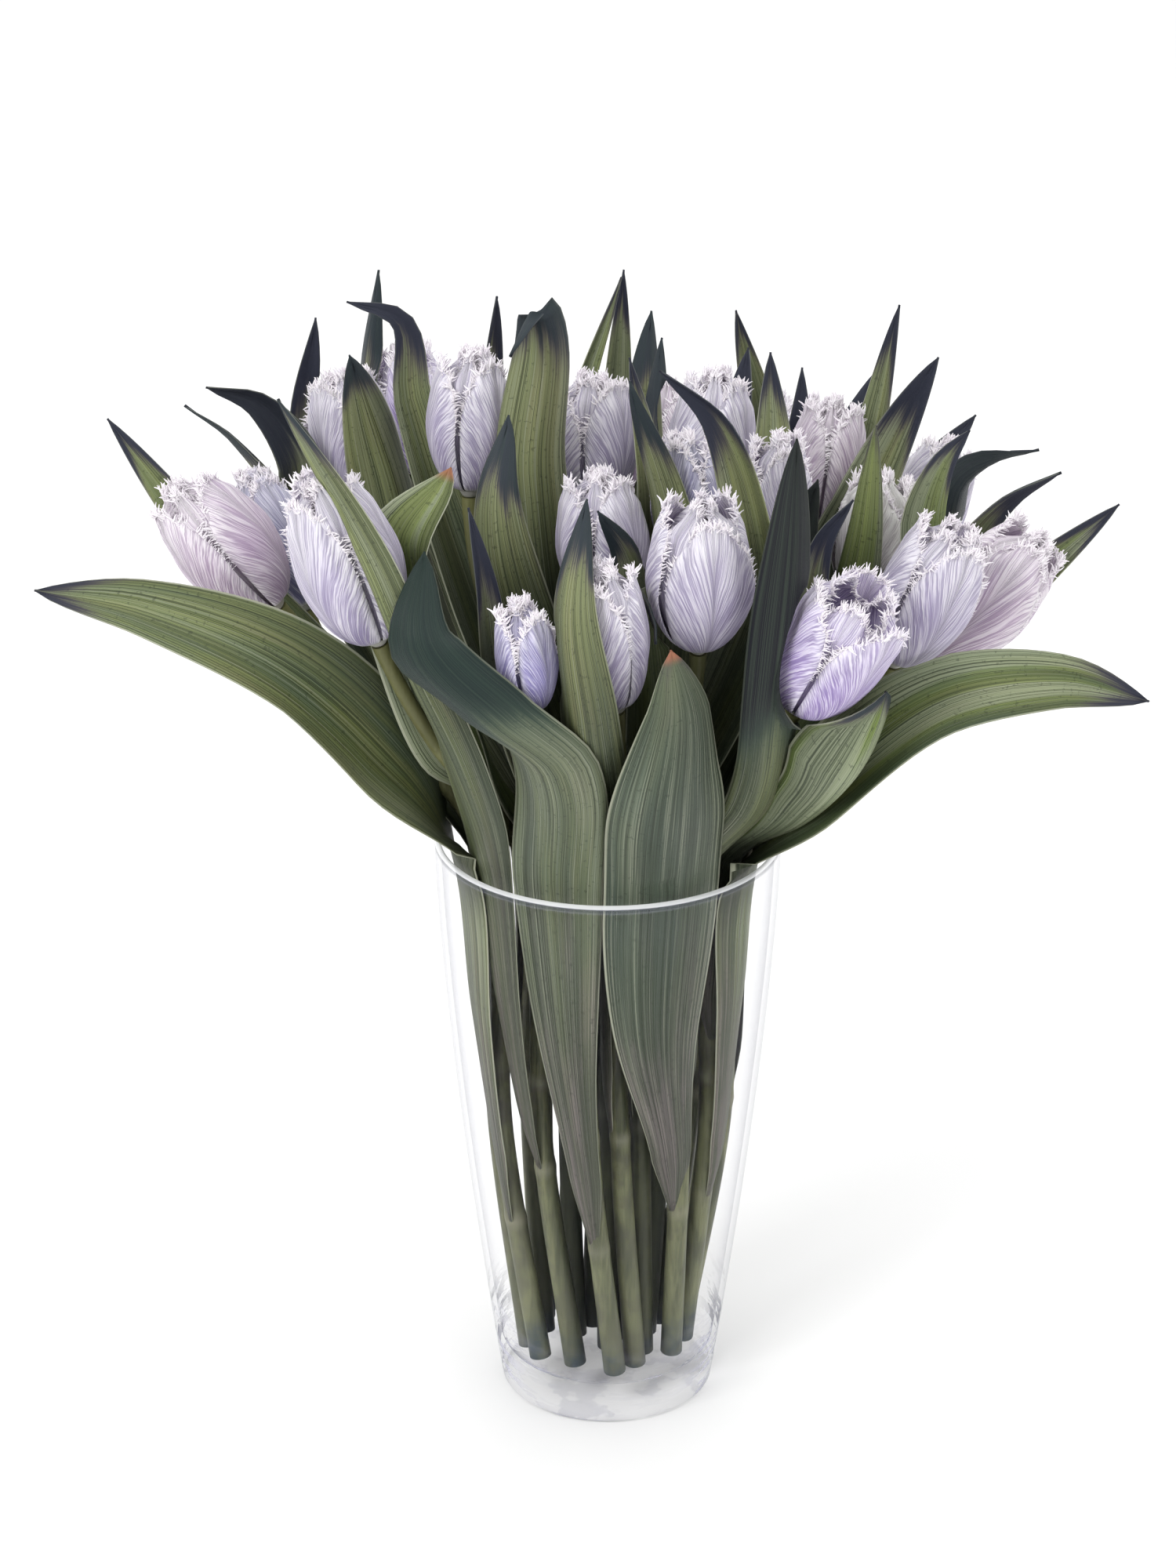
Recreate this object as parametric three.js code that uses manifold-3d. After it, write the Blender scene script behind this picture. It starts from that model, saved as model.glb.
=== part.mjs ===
// A clear conical glass vase that holds a bouquet of fringed tulips.
// Millimetres, +Z up, origin at the middle of the vase's flat underside, front towards -Y.
// Every tulip is two solids: its leafy stem (stem and leaves grown together) and its bloom.

import * as THREE from 'three';
import { mergeVertices } from 'three/addons/utils/BufferGeometryUtils.js';
import Module from 'manifold-3d';

const wasm = await Module();
wasm.setup();

// ---- Driving dimensions -------------------------------------------------------------------

const VASE = {
  height: 250,
  baseRadius: 44,
  rimRadius: 70,
  bulge: 1.45,
  wall: 2.5,
  floor: 16,
  corner: 7,
  foot: 1.5,
  sides: 26,
};
const STEM = { footRadius: 4.7, rimRadius: 3.6, neckRadius: 2.9, neckLength: 45, sides: 5 };
// Stems and leaves have their corners at the same heights, so they bend alike and stay apart.
const LEVELS = [115, 212, 256, 312];
// The air left between pieces that touch.
const SEAT_GAP = 0.3;
// Joins drop edges shorter than this.
const JOIN_TOLERANCE = 0.02;
// Stems fan out from the vase's floor to the crown. `foot` and `rim` are shares of their places
// at the crown's height, and a room is the free radius round each stem. At `waistHeight` a stem
// has come `waist` of the way out from its foot to the rim.
const SPREAD = {
  crownHeight: 360,
  rim: 0.38,
  power: 1.1,
  rimRoom: 7.6,
  rimCircle: 56,
  foot: 0.24,
  twist: 0.42,
  footRoom: 5.4,
  footCircle: 33.5,
  waist: 0.62,
  waistHeight: 115,
};
const LEAF = {
  thickness: 0.8,
  rowSpacing: 46,
  root: 1,
  sheath: 25,
  roll: 0.9,
  cup: 1.2,
  crownRadius: 24,
  glassRadius: 62,
  unroll: 90,
  neckOffset: 14,
  clearance: 1.3,
};
const PETAL = { thickness: 0.8, tooth: 3.4, root: 3.6, base: 3, swing: 1.0, innerStep: 3.2 };
// The room that leaves keep clear round a bloom: its middle and its half heights are shares of
// the bloom's length.
const BLOOM_ROOM = { middle: 0.48, above: 0.6, below: 0.52, clearance: 2.4 };

// One row for each tulip: where the bloom sits on its stem, which way it points, its size and
// its colour. `open` above 0 spreads the petal tips.
const TULIPS = [
  { seat: [-129, -12, 352], lean: [-0.58, -0.15], length: 64, radius: 20, tone: 'pink' },
  { seat: [-121, 20, 338], lean: [-0.38, 0.1], length: 58, radius: 18, tone: 'slate' },
  { seat: [-87, -62, 357], lean: [-0.31, -0.13], length: 71, radius: 21, tone: 'lilac' },
  { seat: [-96, 62, 363], lean: [-0.22, 0.14], length: 58, radius: 19, tone: 'lilac' },
  { seat: [-74, 105, 362], lean: [-0.2, 0.22], length: 56, radius: 16, tone: 'violet' },
  { seat: [-55, 30, 383], lean: [0.02, 0.08], length: 56, radius: 18, tone: 'lilac' },
  { seat: [-7, 48, 367], lean: [0, 0.1], length: 56, radius: 18.5, tone: 'lilac', open: 0.1 },
  { seat: [-1, -28, 357], lean: [-0.06, 0.04], length: 54, radius: 18, tone: 'lilac' },
  { seat: [3, -92, 342], lean: [-0.06, -0.14], length: 59, radius: 14.5, tone: 'lilac' },
  { seat: [-28, -104, 346], lean: [-0.12, -0.12], length: 44, radius: 11.5, tone: 'bud' },
  { seat: [34, -72, 358], lean: [0.02, -0.15], length: 63, radius: 20.5, tone: 'lilac' },
  { seat: [38, 34, 374], lean: [0.08, 0.12], length: 56, radius: 18, tone: 'lilac' },
  { seat: [30, -14, 368], lean: [0, 0.02], length: 54, radius: 13, tone: 'slate' },
  { seat: [64, -10, 366], lean: [0.04, 0], length: 54, radius: 14, tone: 'lilac' },
  { seat: [83, 46, 359], lean: [0.12, 0.16], length: 54, radius: 16, tone: 'pink' },
  { seat: [102, 2, 346], lean: [0.08, 0.02], length: 54, radius: 17, tone: 'cream' },
  { seat: [70.5, -80, 337], lean: [0.4, -0.29], length: 60, radius: 20, tone: 'violet', open: 0.3 },
  { seat: [109, -46, 342], lean: [0.36, -0.13], length: 62, radius: 18.5, tone: 'lilac', open: 0.1 },
  { seat: [126, -8, 330], lean: [0.62, -0.12], length: 66, radius: 20, tone: 'pink' },
  { seat: [116, 50, 344], lean: [0.4, 0.26], length: 54, radius: 17, tone: 'lilac' },
  { seat: [68, 98, 340], lean: [0.24, 0.36], length: 58, radius: 18, tone: 'lilac' },
  { seat: [20, 106, 342], lean: [0.08, 0.36], length: 58, radius: 18, tone: 'pink' },
  { seat: [-30, 100, 344], lean: [-0.08, 0.32], length: 58, radius: 18, tone: 'slate' },
];

// One row for each leaf: the tulip it grows on (counted from 1), the height of its node, its
// full width, its tip, and the side of the stem it stands on, as a heading in degrees. `via`
// lists points that the blade passes above the rim. An outer leaf leans on the glass instead,
// where `rim` says. `twist` turns the upper blade about its own length, and above `full`, a share
// of its length, a blade narrows to its point. `crest` is the share where a blade bends over.
const LEAVES = [
  { tulip: 1, node: 80, width: 46, tip: [-220, -45, 372], rim: [-62, -19],
    via: [[-93, -46, 309], [-128, -56, 346], [-178, -50, 366]], twist: -0.95 },
  { tulip: 1, node: 150, width: 22, tip: [-196, 14, 421], heading: 125, twist: -0.5 },
  { tulip: 2, node: 130, width: 22, tip: [-168, 38, 418], heading: 150,
    via: [[-124, 48, 362], [-150, 41, 403]], twist: 0.7 },
  { tulip: 2, node: 160, width: 24, tip: [-160, 46, 423], heading: 88,
    via: [[-120, 49, 366], [-123, 47, 393], [-139, 47, 416]], full: 0.66 },
  { tulip: 3, node: 110, width: 27, tip: [-123, -64, 456], rim: [-46.5, -41.5],
    via: [[-58, -80, 316], [-74, -95, 362], [-91, -91, 405]] },
  { tulip: 3, node: 150, width: 40, tip: [-65, -36, 423], heading: 30, full: 0.75, twist: 0.5 },
  { tulip: 4, node: 130, width: 24, tip: [-118, 80, 441], heading: 150, twist: -1.0 },
  { tulip: 4, node: 165, width: 32, tip: [-101, 20, 445], heading: 302, full: 0.62 },
  { tulip: 5, node: 120, width: 24, tip: [-94, 112, 451], heading: 190, twist: 0.7 },
  { tulip: 5, node: 150, width: 28, tip: [-84, 152, 418], heading: 90 },
  { tulip: 6, node: 125, width: 24, tip: [-104, 57, 455], heading: 140,
    via: [[-78, 52, 415], [-82, 58, 446]], twist: -0.7 },
  { tulip: 6, node: 160, width: 30, tip: [-38, -8, 457], heading: 325,
    via: [[-29, 9, 400], [-25, 11, 450], [-28, 4, 470]], full: 0.7, twist: -0.75, crest: 0.945 },
  { tulip: 7, node: 130, width: 14, tip: [5, 84, 457], heading: 110 },
  { tulip: 7, node: 165, width: 28, tip: [22, 68, 450], heading: 0, twist: -1.25 },
  { tulip: 8, node: 130, width: 32, tip: [-46, -30, 438], heading: 190,
    via: [[-41, -50, 380], [-48, -46, 414]], full: 0.62, twist: 1.1 },
  { tulip: 8, node: 160, width: 24, tip: [-4, -54, 408], heading: 300 },
  { tulip: 9, node: 130, width: 29, tip: [-8, -84, 424], heading: 200,
    via: [[-10, -114, 350], [-14, -116, 392]], twist: 0.7 },
  { tulip: 10, node: 80, width: 38, tip: [-68, -96, 407], rim: [-20.5, -59.5],
    via: [[-22, -106, 322], [-46, -120, 350], [-70, -120, 378]], full: 0.75 },
  { tulip: 10, node: 130, width: 18, tip: [-52, -84, 420], heading: 120,
    via: [[-42, -84, 355], [-46, -86, 390]] },
  { tulip: 11, node: 130, width: 22, tip: [12, -98, 372], heading: 200, twist: 1.0 },
  { tulip: 11, node: 165, width: 27, tip: [19, -42, 460], heading: 60,
    via: [[57, -56, 366], [55, -50, 402], [42, -46, 440]] },
  { tulip: 12, node: 130, width: 22, tip: [25, 52, 442], heading: 200, twist: 1.0 },
  { tulip: 12, node: 165, width: 28, tip: [56, 70, 432], heading: 60 },
  { tulip: 13, node: 140, width: 18, tip: [8, 6, 449], heading: 140, twist: -0.7 },
  { tulip: 13, node: 170, width: 22, tip: [13, -32, 454], heading: 250 },
  { tulip: 14, node: 140, width: 28, tip: [63, 22, 446], heading: 95 },
  { tulip: 14, node: 170, width: 28, tip: [80, -30, 412], heading: 305, twist: -0.5 },
  { tulip: 15, node: 130, width: 22, tip: [116, 70, 450], heading: 30, twist: 0.4 },
  { tulip: 15, node: 160, width: 20, tip: [72, 78, 424], heading: 140, twist: -0.7 },
  { tulip: 16, node: 130, width: 22, tip: [102, -24, 432], heading: 250 },
  { tulip: 16, node: 160, width: 32, tip: [132, 28, 440], heading: 60,
    via: [[107, 30, 388]] },
  { tulip: 17, node: 92, width: 50, tip: [23, -122, 379], rim: [23.2, -59.8],
    via: [[25, -102, 310], [27, -117, 350]], full: 0.62 },
  { tulip: 17, node: 140, width: 26, tip: [69, -90, 450], heading: 295,
    via: [[58, -64, 290], [63, -100, 350], [67, -102, 403]], full: 0.72 },
  { tulip: 17, node: 150, width: 20, tip: [92, -60, 415], heading: 85,
    via: [[74, -54, 362], [81, -58, 397]] },
  { tulip: 18, node: 90, width: 43, tip: [207, -62, 334], rim: [58, -27],
    via: [[92, -60, 304], [128, -72, 338], [172, -70, 345]], twist: 0.95 },
  { tulip: 18, node: 165, width: 44, tip: [104, -96, 352], heading: 300,
    via: [[76, -60, 284], [92, -88, 320]], full: 0.8 },
  { tulip: 18, node: 150, width: 27, tip: [139, -12, 426], heading: 66,
    via: [[123, -21, 368], [123, -17, 392], [129, -14, 412]], full: 0.62 },
  { tulip: 19, node: 130, width: 24, tip: [199, -2, 392], heading: 45, twist: 0.65 },
  { tulip: 19, node: 160, width: 24, tip: [178, 18, 398], heading: 110,
    via: [[126, 10, 336], [141, 22, 365], [157, 21, 385]] },
  { tulip: 20, node: 130, width: 30, tip: [171, 38, 400], heading: 300,
    via: [[134, 34, 366], [140, 35, 387], [153, 38, 396]], full: 0.62 },
  { tulip: 20, node: 160, width: 26, tip: [150, 92, 396], heading: 100 },
  { tulip: 21, node: 120, width: 28, tip: [112, 142, 398], heading: 20, twist: 1.0 },
  { tulip: 21, node: 160, width: 22, tip: [52, 112, 434], heading: 125, twist: -0.2 },
  { tulip: 22, node: 140, width: 38, tip: [30, 196, 372], rim: [14, 62],
    via: [[20, 96, 306], [24, 150, 352]] },
  { tulip: 22, node: 150, width: 18, tip: [6, 116, 450], heading: 160, twist: -1.0 },
  { tulip: 23, node: 110, width: 34, tip: [-40, 192, 374], rim: [-22, 60],
    via: [[-22, 95, 300], [-30, 146, 352]] },
  { tulip: 23, node: 150, width: 24, tip: [-46, 118, 438], heading: 150, twist: -0.3 },
];

// ---- Small helpers ------------------------------------------------------------------------

const vec = (values) => new THREE.Vector3(...values);
const mix = THREE.MathUtils.lerp;
const radians = THREE.MathUtils.degToRad;
const up = new THREE.Vector3(0, 0, 1);

// A smooth curve through points at rising knots. It runs straight on past its last knot.
function smoothCurve(knots, points, endSlope) {
  const last = points.length - 1;
  const slopes = points.map((point, i) => {
    const before = Math.max(i - 1, 0);
    const after = Math.min(i + 1, last);
    const rise = points[after].clone().sub(points[before]);
    return rise.divideScalar(knots[after] - knots[before]);
  });
  if (endSlope) slopes[last] = endSlope;
  return (knot) => {
    if (knot >= knots[last]) {
      return points[last].clone().addScaledVector(slopes[last], knot - knots[last]);
    }
    let i = 0;
    while (i < last - 1 && knot > knots[i + 1]) i += 1;
    const span = knots[i + 1] - knots[i];
    const f = (knot - knots[i]) / span;
    const rest = 1 - f;
    return new THREE.Vector3()
      .addScaledVector(points[i], (1 + 2 * f) * rest * rest)
      .addScaledVector(slopes[i], f * rest * rest * span)
      .addScaledVector(points[i + 1], f * f * (3 - 2 * f))
      .addScaledVector(slopes[i + 1], -f * f * rest * span);
  };
}

// Pushes points of one level apart until each has its room, inside a circle.
function spreadOut(points, room, circle) {
  for (let round = 0; round < 60; round += 1) {
    points.forEach((a, i) => {
      points.slice(i + 1).forEach((b) => {
        const apart = b.clone().sub(a);
        const missing = 2 * room - apart.length();
        if (missing > 0) {
          apart.setLength(missing / 2);
          a.sub(apart);
          b.add(apart);
        }
      });
    });
    points.forEach((a) => a.clampLength(0, circle));
  }
}

// Turns a three.js geometry into a solid, with its faces pointing out.
function solidFrom(geometry) {
  const bare = geometry.clone();
  bare.deleteAttribute('normal');
  bare.deleteAttribute('uv');
  const merged = mergeVertices(bare, 1e-4);
  const vertProperties = merged.attributes.position.array;
  const index = merged.index.array;
  const build = (triVerts) => {
    const mesh = new wasm.Mesh({ numProp: 3, vertProperties, triVerts, tolerance: JOIN_TOLERANCE });
    return new wasm.Manifold(mesh);
  };
  const solid = build(Uint32Array.from(index));
  return solid.volume() > 0 ? solid : build(Uint32Array.from(index).reverse());
}

// The largest body of a joined solid, as a geometry: crumbs that a join leaves are dropped.
function geometryFrom(solid) {
  const bodies = solid.decompose().sort((a, b) => b.volume() - a.volume());
  const mesh = bodies[0].getMesh();
  const geometry = new THREE.BufferGeometry();
  geometry.setAttribute('position', new THREE.Float32BufferAttribute(mesh.vertProperties, 3));
  geometry.setIndex(Array.from(mesh.triVerts));
  geometry.computeVertexNormals();
  return geometry;
}

// A closed solid from rings of points with flat ends, such as a tapered stem.
function solidFromRings(rings) {
  const sides = rings[0].length;
  const positions = rings.flat().flatMap((p) => p.toArray());
  const index = [];
  rings.slice(1).forEach((ring, r) => {
    for (let s = 0; s < sides; s += 1) {
      const a = r * sides + s;
      const b = r * sides + ((s + 1) % sides);
      index.push(a, b, b + sides, a, b + sides, a + sides);
    }
  });
  const top = (rings.length - 1) * sides;
  for (let s = 1; s < sides - 1; s += 1) {
    index.push(0, s + 1, s);
    index.push(top, top + s, top + s + 1);
  }
  const geometry = new THREE.BufferGeometry();
  geometry.setAttribute('position', new THREE.Float32BufferAttribute(positions, 3));
  geometry.setIndex(index);
  return solidFrom(geometry);
}

// A thin closed blade over rows of surface points, split into triangles alike on both faces.
// Each row holds points and face normals from its left edge to its right edge.
function solidBlade(rows, thickness) {
  const positions = [];
  const front = [];
  const back = [];
  rows.forEach((row) => {
    front.push(row.map(({ point, normal }) => {
      positions.push(...point.clone().addScaledVector(normal, thickness / 2).toArray());
      return positions.length / 3 - 1;
    }));
    back.push(row.map(({ point, normal }) => {
      positions.push(...point.clone().addScaledVector(normal, -thickness / 2).toArray());
      return positions.length / 3 - 1;
    }));
  });
  const index = [];
  for (let r = 0; r < rows.length - 1; r += 1) {
    let i = 0;
    let j = 0;
    const lower = rows[r].length - 1;
    const upper = rows[r + 1].length - 1;
    while (i < lower || j < upper) {
      if (j >= upper || (i < lower && (i + 1) / lower <= (j + 1) / upper)) {
        index.push(front[r][i], front[r][i + 1], front[r + 1][j]);
        index.push(back[r][i + 1], back[r][i], back[r + 1][j]);
        i += 1;
      } else {
        index.push(front[r][i], front[r + 1][j + 1], front[r + 1][j]);
        index.push(back[r][i], back[r + 1][j], back[r + 1][j + 1]);
        j += 1;
      }
    }
  }
  const outline = [];
  const corner = (r, i) => outline.push([front[r][i], back[r][i]]);
  rows[0].forEach((_, i) => corner(0, i));
  rows.slice(1, -1).forEach((row, r) => corner(r + 1, row.length - 1));
  rows.at(-1).forEach((row, i) => corner(rows.length - 1, rows.at(-1).length - 1 - i));
  rows.slice(1, -1).forEach((_, r) => corner(rows.length - 2 - r, 0));
  outline.forEach(([a, aBack], k) => {
    const [b, bBack] = outline[(k + 1) % outline.length];
    index.push(a, aBack, bBack, a, bBack, b);
  });
  const geometry = new THREE.BufferGeometry();
  geometry.setAttribute('position', new THREE.Float32BufferAttribute(positions, 3));
  geometry.setIndex(index);
  return solidFrom(geometry);
}

// The point and the face normal of a surface at (t, u).
function onSurface(surface, t, u) {
  const step = 0.01;
  const point = surface(t, u);
  const along = surface(Math.min(t + step, 1), u).sub(surface(Math.max(t - step, 0), u));
  const across = surface(t, u + step).sub(surface(t, u - step));
  return { point, normal: across.cross(along).normalize() };
}

// ---- Vase ---------------------------------------------------------------------------------

const vaseRadius = (z) => {
  const rest = 1 - z / VASE.height;
  return VASE.baseRadius + (VASE.rimRadius - VASE.baseRadius) * (1 - rest ** VASE.bulge);
};
const innerRadius = (z) => vaseRadius(z) - VASE.wall;

function vaseGeometry() {
  const { height, wall, floor, corner, foot, sides } = VASE;
  const profile = [new THREE.Vector2(0, 0), new THREE.Vector2(vaseRadius(0) - foot, 0)];
  const outerHeights = [foot, 0.33 * height, 0.67 * height, height - wall / 2];
  outerHeights.forEach((z) => profile.push(new THREE.Vector2(vaseRadius(z), z)));
  profile.push(new THREE.Vector2(vaseRadius(height) - wall / 2, height));
  const innerHeights = [height - wall / 2, 0.67 * height, 0.33 * height];
  innerHeights.forEach((z) => profile.push(new THREE.Vector2(innerRadius(z), z)));
  for (let k = 0; k <= 3; k += 1) {
    const turn = (k / 3) * (Math.PI / 2);
    const x = innerRadius(floor + corner) - corner * (1 - Math.cos(turn));
    profile.push(new THREE.Vector2(x, floor + corner * (1 - Math.sin(turn))));
  }
  profile.push(new THREE.Vector2(0, floor));
  return new THREE.LatheGeometry(profile, sides).rotateX(Math.PI / 2);
}

// ---- How the bouquet fans out -------------------------------------------------------------

// How far a stem has spread at a height, as a share of its place in the crown.
function spread(z) {
  const above = Math.max(z - VASE.height, 0) / (SPREAD.crownHeight - VASE.height);
  return SPREAD.rim + (1 - SPREAD.rim) * above ** SPREAD.power;
}

const footHeight = VASE.floor + SEAT_GAP;
const tulips = TULIPS.map((row) => {
  const seat = vec(row.seat);
  const axis = new THREE.Vector3(row.lean[0], row.lean[1], 0);
  axis.z = Math.sqrt(1 - axis.lengthSq());
  const place = seat.clone().setZ(0).divideScalar(spread(seat.z));
  return { open: 0, ...row, seat, axis, place };
});

const rimPlaces = tulips.map(({ place }) => place.clone().multiplyScalar(SPREAD.rim));
spreadOut(rimPlaces, SPREAD.rimRoom, SPREAD.rimCircle);
const footPlaces = tulips.map(({ place }) => {
  return place.clone().multiplyScalar(SPREAD.foot).applyAxisAngle(up, SPREAD.twist);
});
spreadOut(footPlaces, SPREAD.footRoom, SPREAD.footCircle);

// The centre line of a stem, read by height. Past the seat it is the bloom's own axis.
tulips.forEach((tulip, i) => {
  const { seat, axis, place } = tulip;
  const slope = axis.clone().divideScalar(axis.z);
  const neckHeight = seat.z - STEM.neckLength;
  const fanned = place.clone().multiplyScalar(spread(neckHeight)).setZ(neckHeight);
  const aimed = seat.clone().addScaledVector(slope, -STEM.neckLength);
  const neck = fanned.lerp(aimed, 0.5);
  const knots = [footHeight, SPREAD.waistHeight, VASE.height, neckHeight, seat.z];
  const foot = footPlaces[i].clone().setZ(footHeight);
  const rim = rimPlaces[i].clone().setZ(VASE.height);
  const waist = foot.clone().lerp(rim, SPREAD.waist).setZ(SPREAD.waistHeight);
  tulip.line = smoothCurve(knots, [foot, waist, rim, neck, seat], slope);
});

function stemRadius(z) {
  if (z < VASE.height) return mix(STEM.footRadius, STEM.rimRadius, z / VASE.height);
  return mix(STEM.rimRadius, STEM.neckRadius, Math.min((z - VASE.height) / 100, 1));
}

// Half the way to the nearest other stem, less a little air.
function cellRadius(tulip, z) {
  const here = tulip.line(z);
  const others = tulips.filter((other) => other !== tulip);
  const gaps = others.map((other) => other.line(z).distanceTo(here));
  return Math.max(Math.min(...gaps) / 2 - 0.8, stemRadius(z) + 0.6);
}

// ---- Stems --------------------------------------------------------------------------------

function stemSolid({ line, seat, axis }) {
  const rings = [];
  [footHeight, ...LEVELS, seat.z].forEach((z) => {
    const centre = line(z);
    const ahead = line(z + 1).sub(line(z - 1)).normalize();
    const facing = z === footHeight ? up : z === seat.z ? axis : ahead;
    const side = new THREE.Vector3(1, 0, 0).projectOnPlane(facing).normalize();
    const other = facing.clone().cross(side);
    const ring = [];
    for (let s = 0; s < STEM.sides; s += 1) {
      const turn = (s / STEM.sides) * 2 * Math.PI;
      const point = centre.clone().addScaledVector(side, stemRadius(z) * Math.cos(turn));
      ring.push(point.addScaledVector(other, stemRadius(z) * Math.sin(turn)));
    }
    rings.push(ring);
  });
  return solidFromRings(rings);
}

// ---- Leaves -------------------------------------------------------------------------------

// Moves a leaf's point out of the blooms and the other stems, and back inside the glass.
function bentClear(point, own) {
  for (let round = 0; round < 3; round += 1) {
    tulips.forEach((tulip) => {
      const { seat, axis, length, radius, open } = tulip;
      const middle = seat.clone().addScaledVector(axis, BLOOM_ROOM.middle * length);
      const offset = point.clone().sub(middle);
      const height = offset.dot(axis);
      const reach = length * (height > 0 ? BLOOM_ROOM.above : BLOOM_ROOM.below);
      const share = Math.abs(height) / reach;
      if (share < 1) {
        const out = offset.addScaledVector(axis, -height);
        const power = height > 0 ? 4 : 2;
        const widest = radius * (1 + 0.5 * open) + BLOOM_ROOM.clearance;
        const room = widest * Math.sqrt(1 - share ** power);
        if (out.length() < room) {
          point.addScaledVector(out.clone().normalize(), room - out.length());
        }
      }
      if (tulip !== own && point.z < seat.z) {
        const away = point.clone().sub(tulip.line(point.z)).setZ(0);
        const room = stemRadius(point.z) + LEAF.clearance;
        if (away.length() < room) point.add(away.clone().setLength(room - away.length()));
      }
    });
    if (point.z < VASE.height + 8) {
      const room = innerRadius(Math.min(point.z, VASE.height)) - LEAF.clearance;
      const out = Math.hypot(point.x, point.y);
      if (out > room) {
        point.x *= room / out;
        point.y *= room / out;
      }
    }
  }
  return point;
}

// Half the width of a leaf along its length: a narrow sheath, a broad blade, a long point.
function leafHalfWidth({ width, full = 0.55 }, t) {
  const swell = THREE.MathUtils.smoothstep(t, 0.05, 0.5);
  const sheath = 0.1 + 0.25 * Math.min(t / 0.08, 1) + 0.65 * swell;
  const point = (1 - Math.max((t - full) / (1 - full), 0) ** 2.2) ** 0.8;
  return (width / 2) * sheath * point;
}

function leafSurface(leaf) {
  const tulip = tulips[leaf.tulip - 1];
  const { node, rim, via, twist = 0 } = leaf;
  const rise = VASE.height - node;
  const rimStem = tulip.line(VASE.height).setZ(0);
  const heading = vec([1, 0, 0]).applyAxisAngle(up, radians(leaf.heading ?? 0));
  const away = rim ? vec([...rim, 0]).sub(rimStem) : heading;
  const beside = away.clone().normalize();
  const facing = rim ? vec([...rim, 0]).normalize() : beside;
  const offsetAt = (z) => {
    const freed = THREE.MathUtils.smoothstep(z, node, node + LEAF.sheath);
    const share = rim ? THREE.MathUtils.smoothstep(z, node + LEAF.sheath, 0.8 * VASE.height) : 0;
    return mix(LEAF.root, mix(cellRadius(tulip, z), away.length(), share), freed);
  };
  const above = mix(node + LEAF.sheath, VASE.height, 0.5);
  const heights = [node, node + LEAF.sheath, above, VASE.height];
  const points = heights.map((z) => tulip.line(z).addScaledVector(beside, offsetAt(z)));
  if (via) {
    via.forEach((place) => points.push(vec(place)));
  } else {
    const { seat, axis, length, radius } = tulip;
    const low = seat.z - STEM.neckLength;
    const offset = Math.min(cellRadius(tulip, low), LEAF.neckOffset);
    points.push(tulip.line(low).addScaledVector(beside, offset));
    const side = seat.clone().addScaledVector(axis, BLOOM_ROOM.middle * length);
    points.push(side.addScaledVector(beside, radius + BLOOM_ROOM.clearance + 1));
  }
  points.push(vec(leaf.tip));
  const knots = [0];
  points.slice(1).forEach((p, i) => knots.push(knots[i] + p.distanceTo(points[i])));
  const total = knots.at(-1);
  const spine = smoothCurve(knots, points);
  const shareAt = (z) => {
    let share = 0;
    while (spine(share * total).z < z) share += 0.002;
    return share;
  };
  const sideways = up.clone().cross(facing);
  const rimRoom = rim ? LEAF.glassRadius : offsetAt(VASE.height);
  const surface = (t, u) => {
    const centre = spine(t * total);
    const ahead = spine(t * total + 1).sub(spine(t * total - 1)).normalize();
    const turn = twist * THREE.MathUtils.smoothstep(t, 0.4, 0.62);
    const across = sideways.clone().projectOnPlane(ahead).normalize().applyAxisAngle(ahead, turn);
    const outward = across.clone().cross(ahead);
    const low = THREE.MathUtils.clamp((centre.z - node) / rise, 0, 1);
    const high = THREE.MathUtils.clamp((centre.z - VASE.height) / LEAF.unroll, 0, 1);
    const stemRoom = offsetAt(Math.min(centre.z, VASE.height));
    const lowRoom = rim ? mix(stemRadius(node), rimRoom, low) : stemRoom;
    const room = mix(lowRoom, LEAF.crownRadius, high);
    const half = Math.min(leafHalfWidth(leaf, t), mix(LEAF.roll, LEAF.cup, high) * room);
    const bend = Math.max(half / room, 0.02);
    centre.addScaledVector(across, (half * Math.sin(bend * u)) / bend);
    centre.addScaledVector(outward, (-half * (1 - Math.cos(bend * u))) / bend);
    return bentClear(centre, tulip);
  };
  return { surface, shareAt, length: total };
}

function leafSolid(leaf) {
  const { surface, shareAt, length } = leafSurface(leaf);
  const freed = leaf.node + LEAF.sheath;
  const above = LEVELS.filter((z) => z > freed + LEAF.sheath);
  const shares = [0, ...[freed, ...above].map(shareAt)];
  const start = shares.at(-1);
  const upper = Math.round(((1 - start) * length) / LEAF.rowSpacing);
  for (let k = 1; k < upper; k += 1) shares.push(mix(start, 1, k / upper));
  if (leaf.crest) shares.push(leaf.crest);
  const rows = shares.map((t) => [-1, 0, 1].map((u) => onSurface(surface, t, u)));
  rows.push([{ point: surface(1, 0), normal: onSurface(surface, 0.98, 0).normal }]);
  return solidBlade(rows, LEAF.thickness);
}

// ---- Blooms -------------------------------------------------------------------------------

// The radius of a closed cup of petals at a share of its height.
function cupRadius({ radius, open }, t) {
  const swell = Math.sin(Math.PI * Math.min(t / 0.84, 1) ** 0.62 * 0.5);
  const close = 1 - (0.4 - open) * THREE.MathUtils.smoothstep(t, 0.42, 1.02);
  return PETAL.root + (radius - PETAL.root) * swell * close;
}

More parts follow.
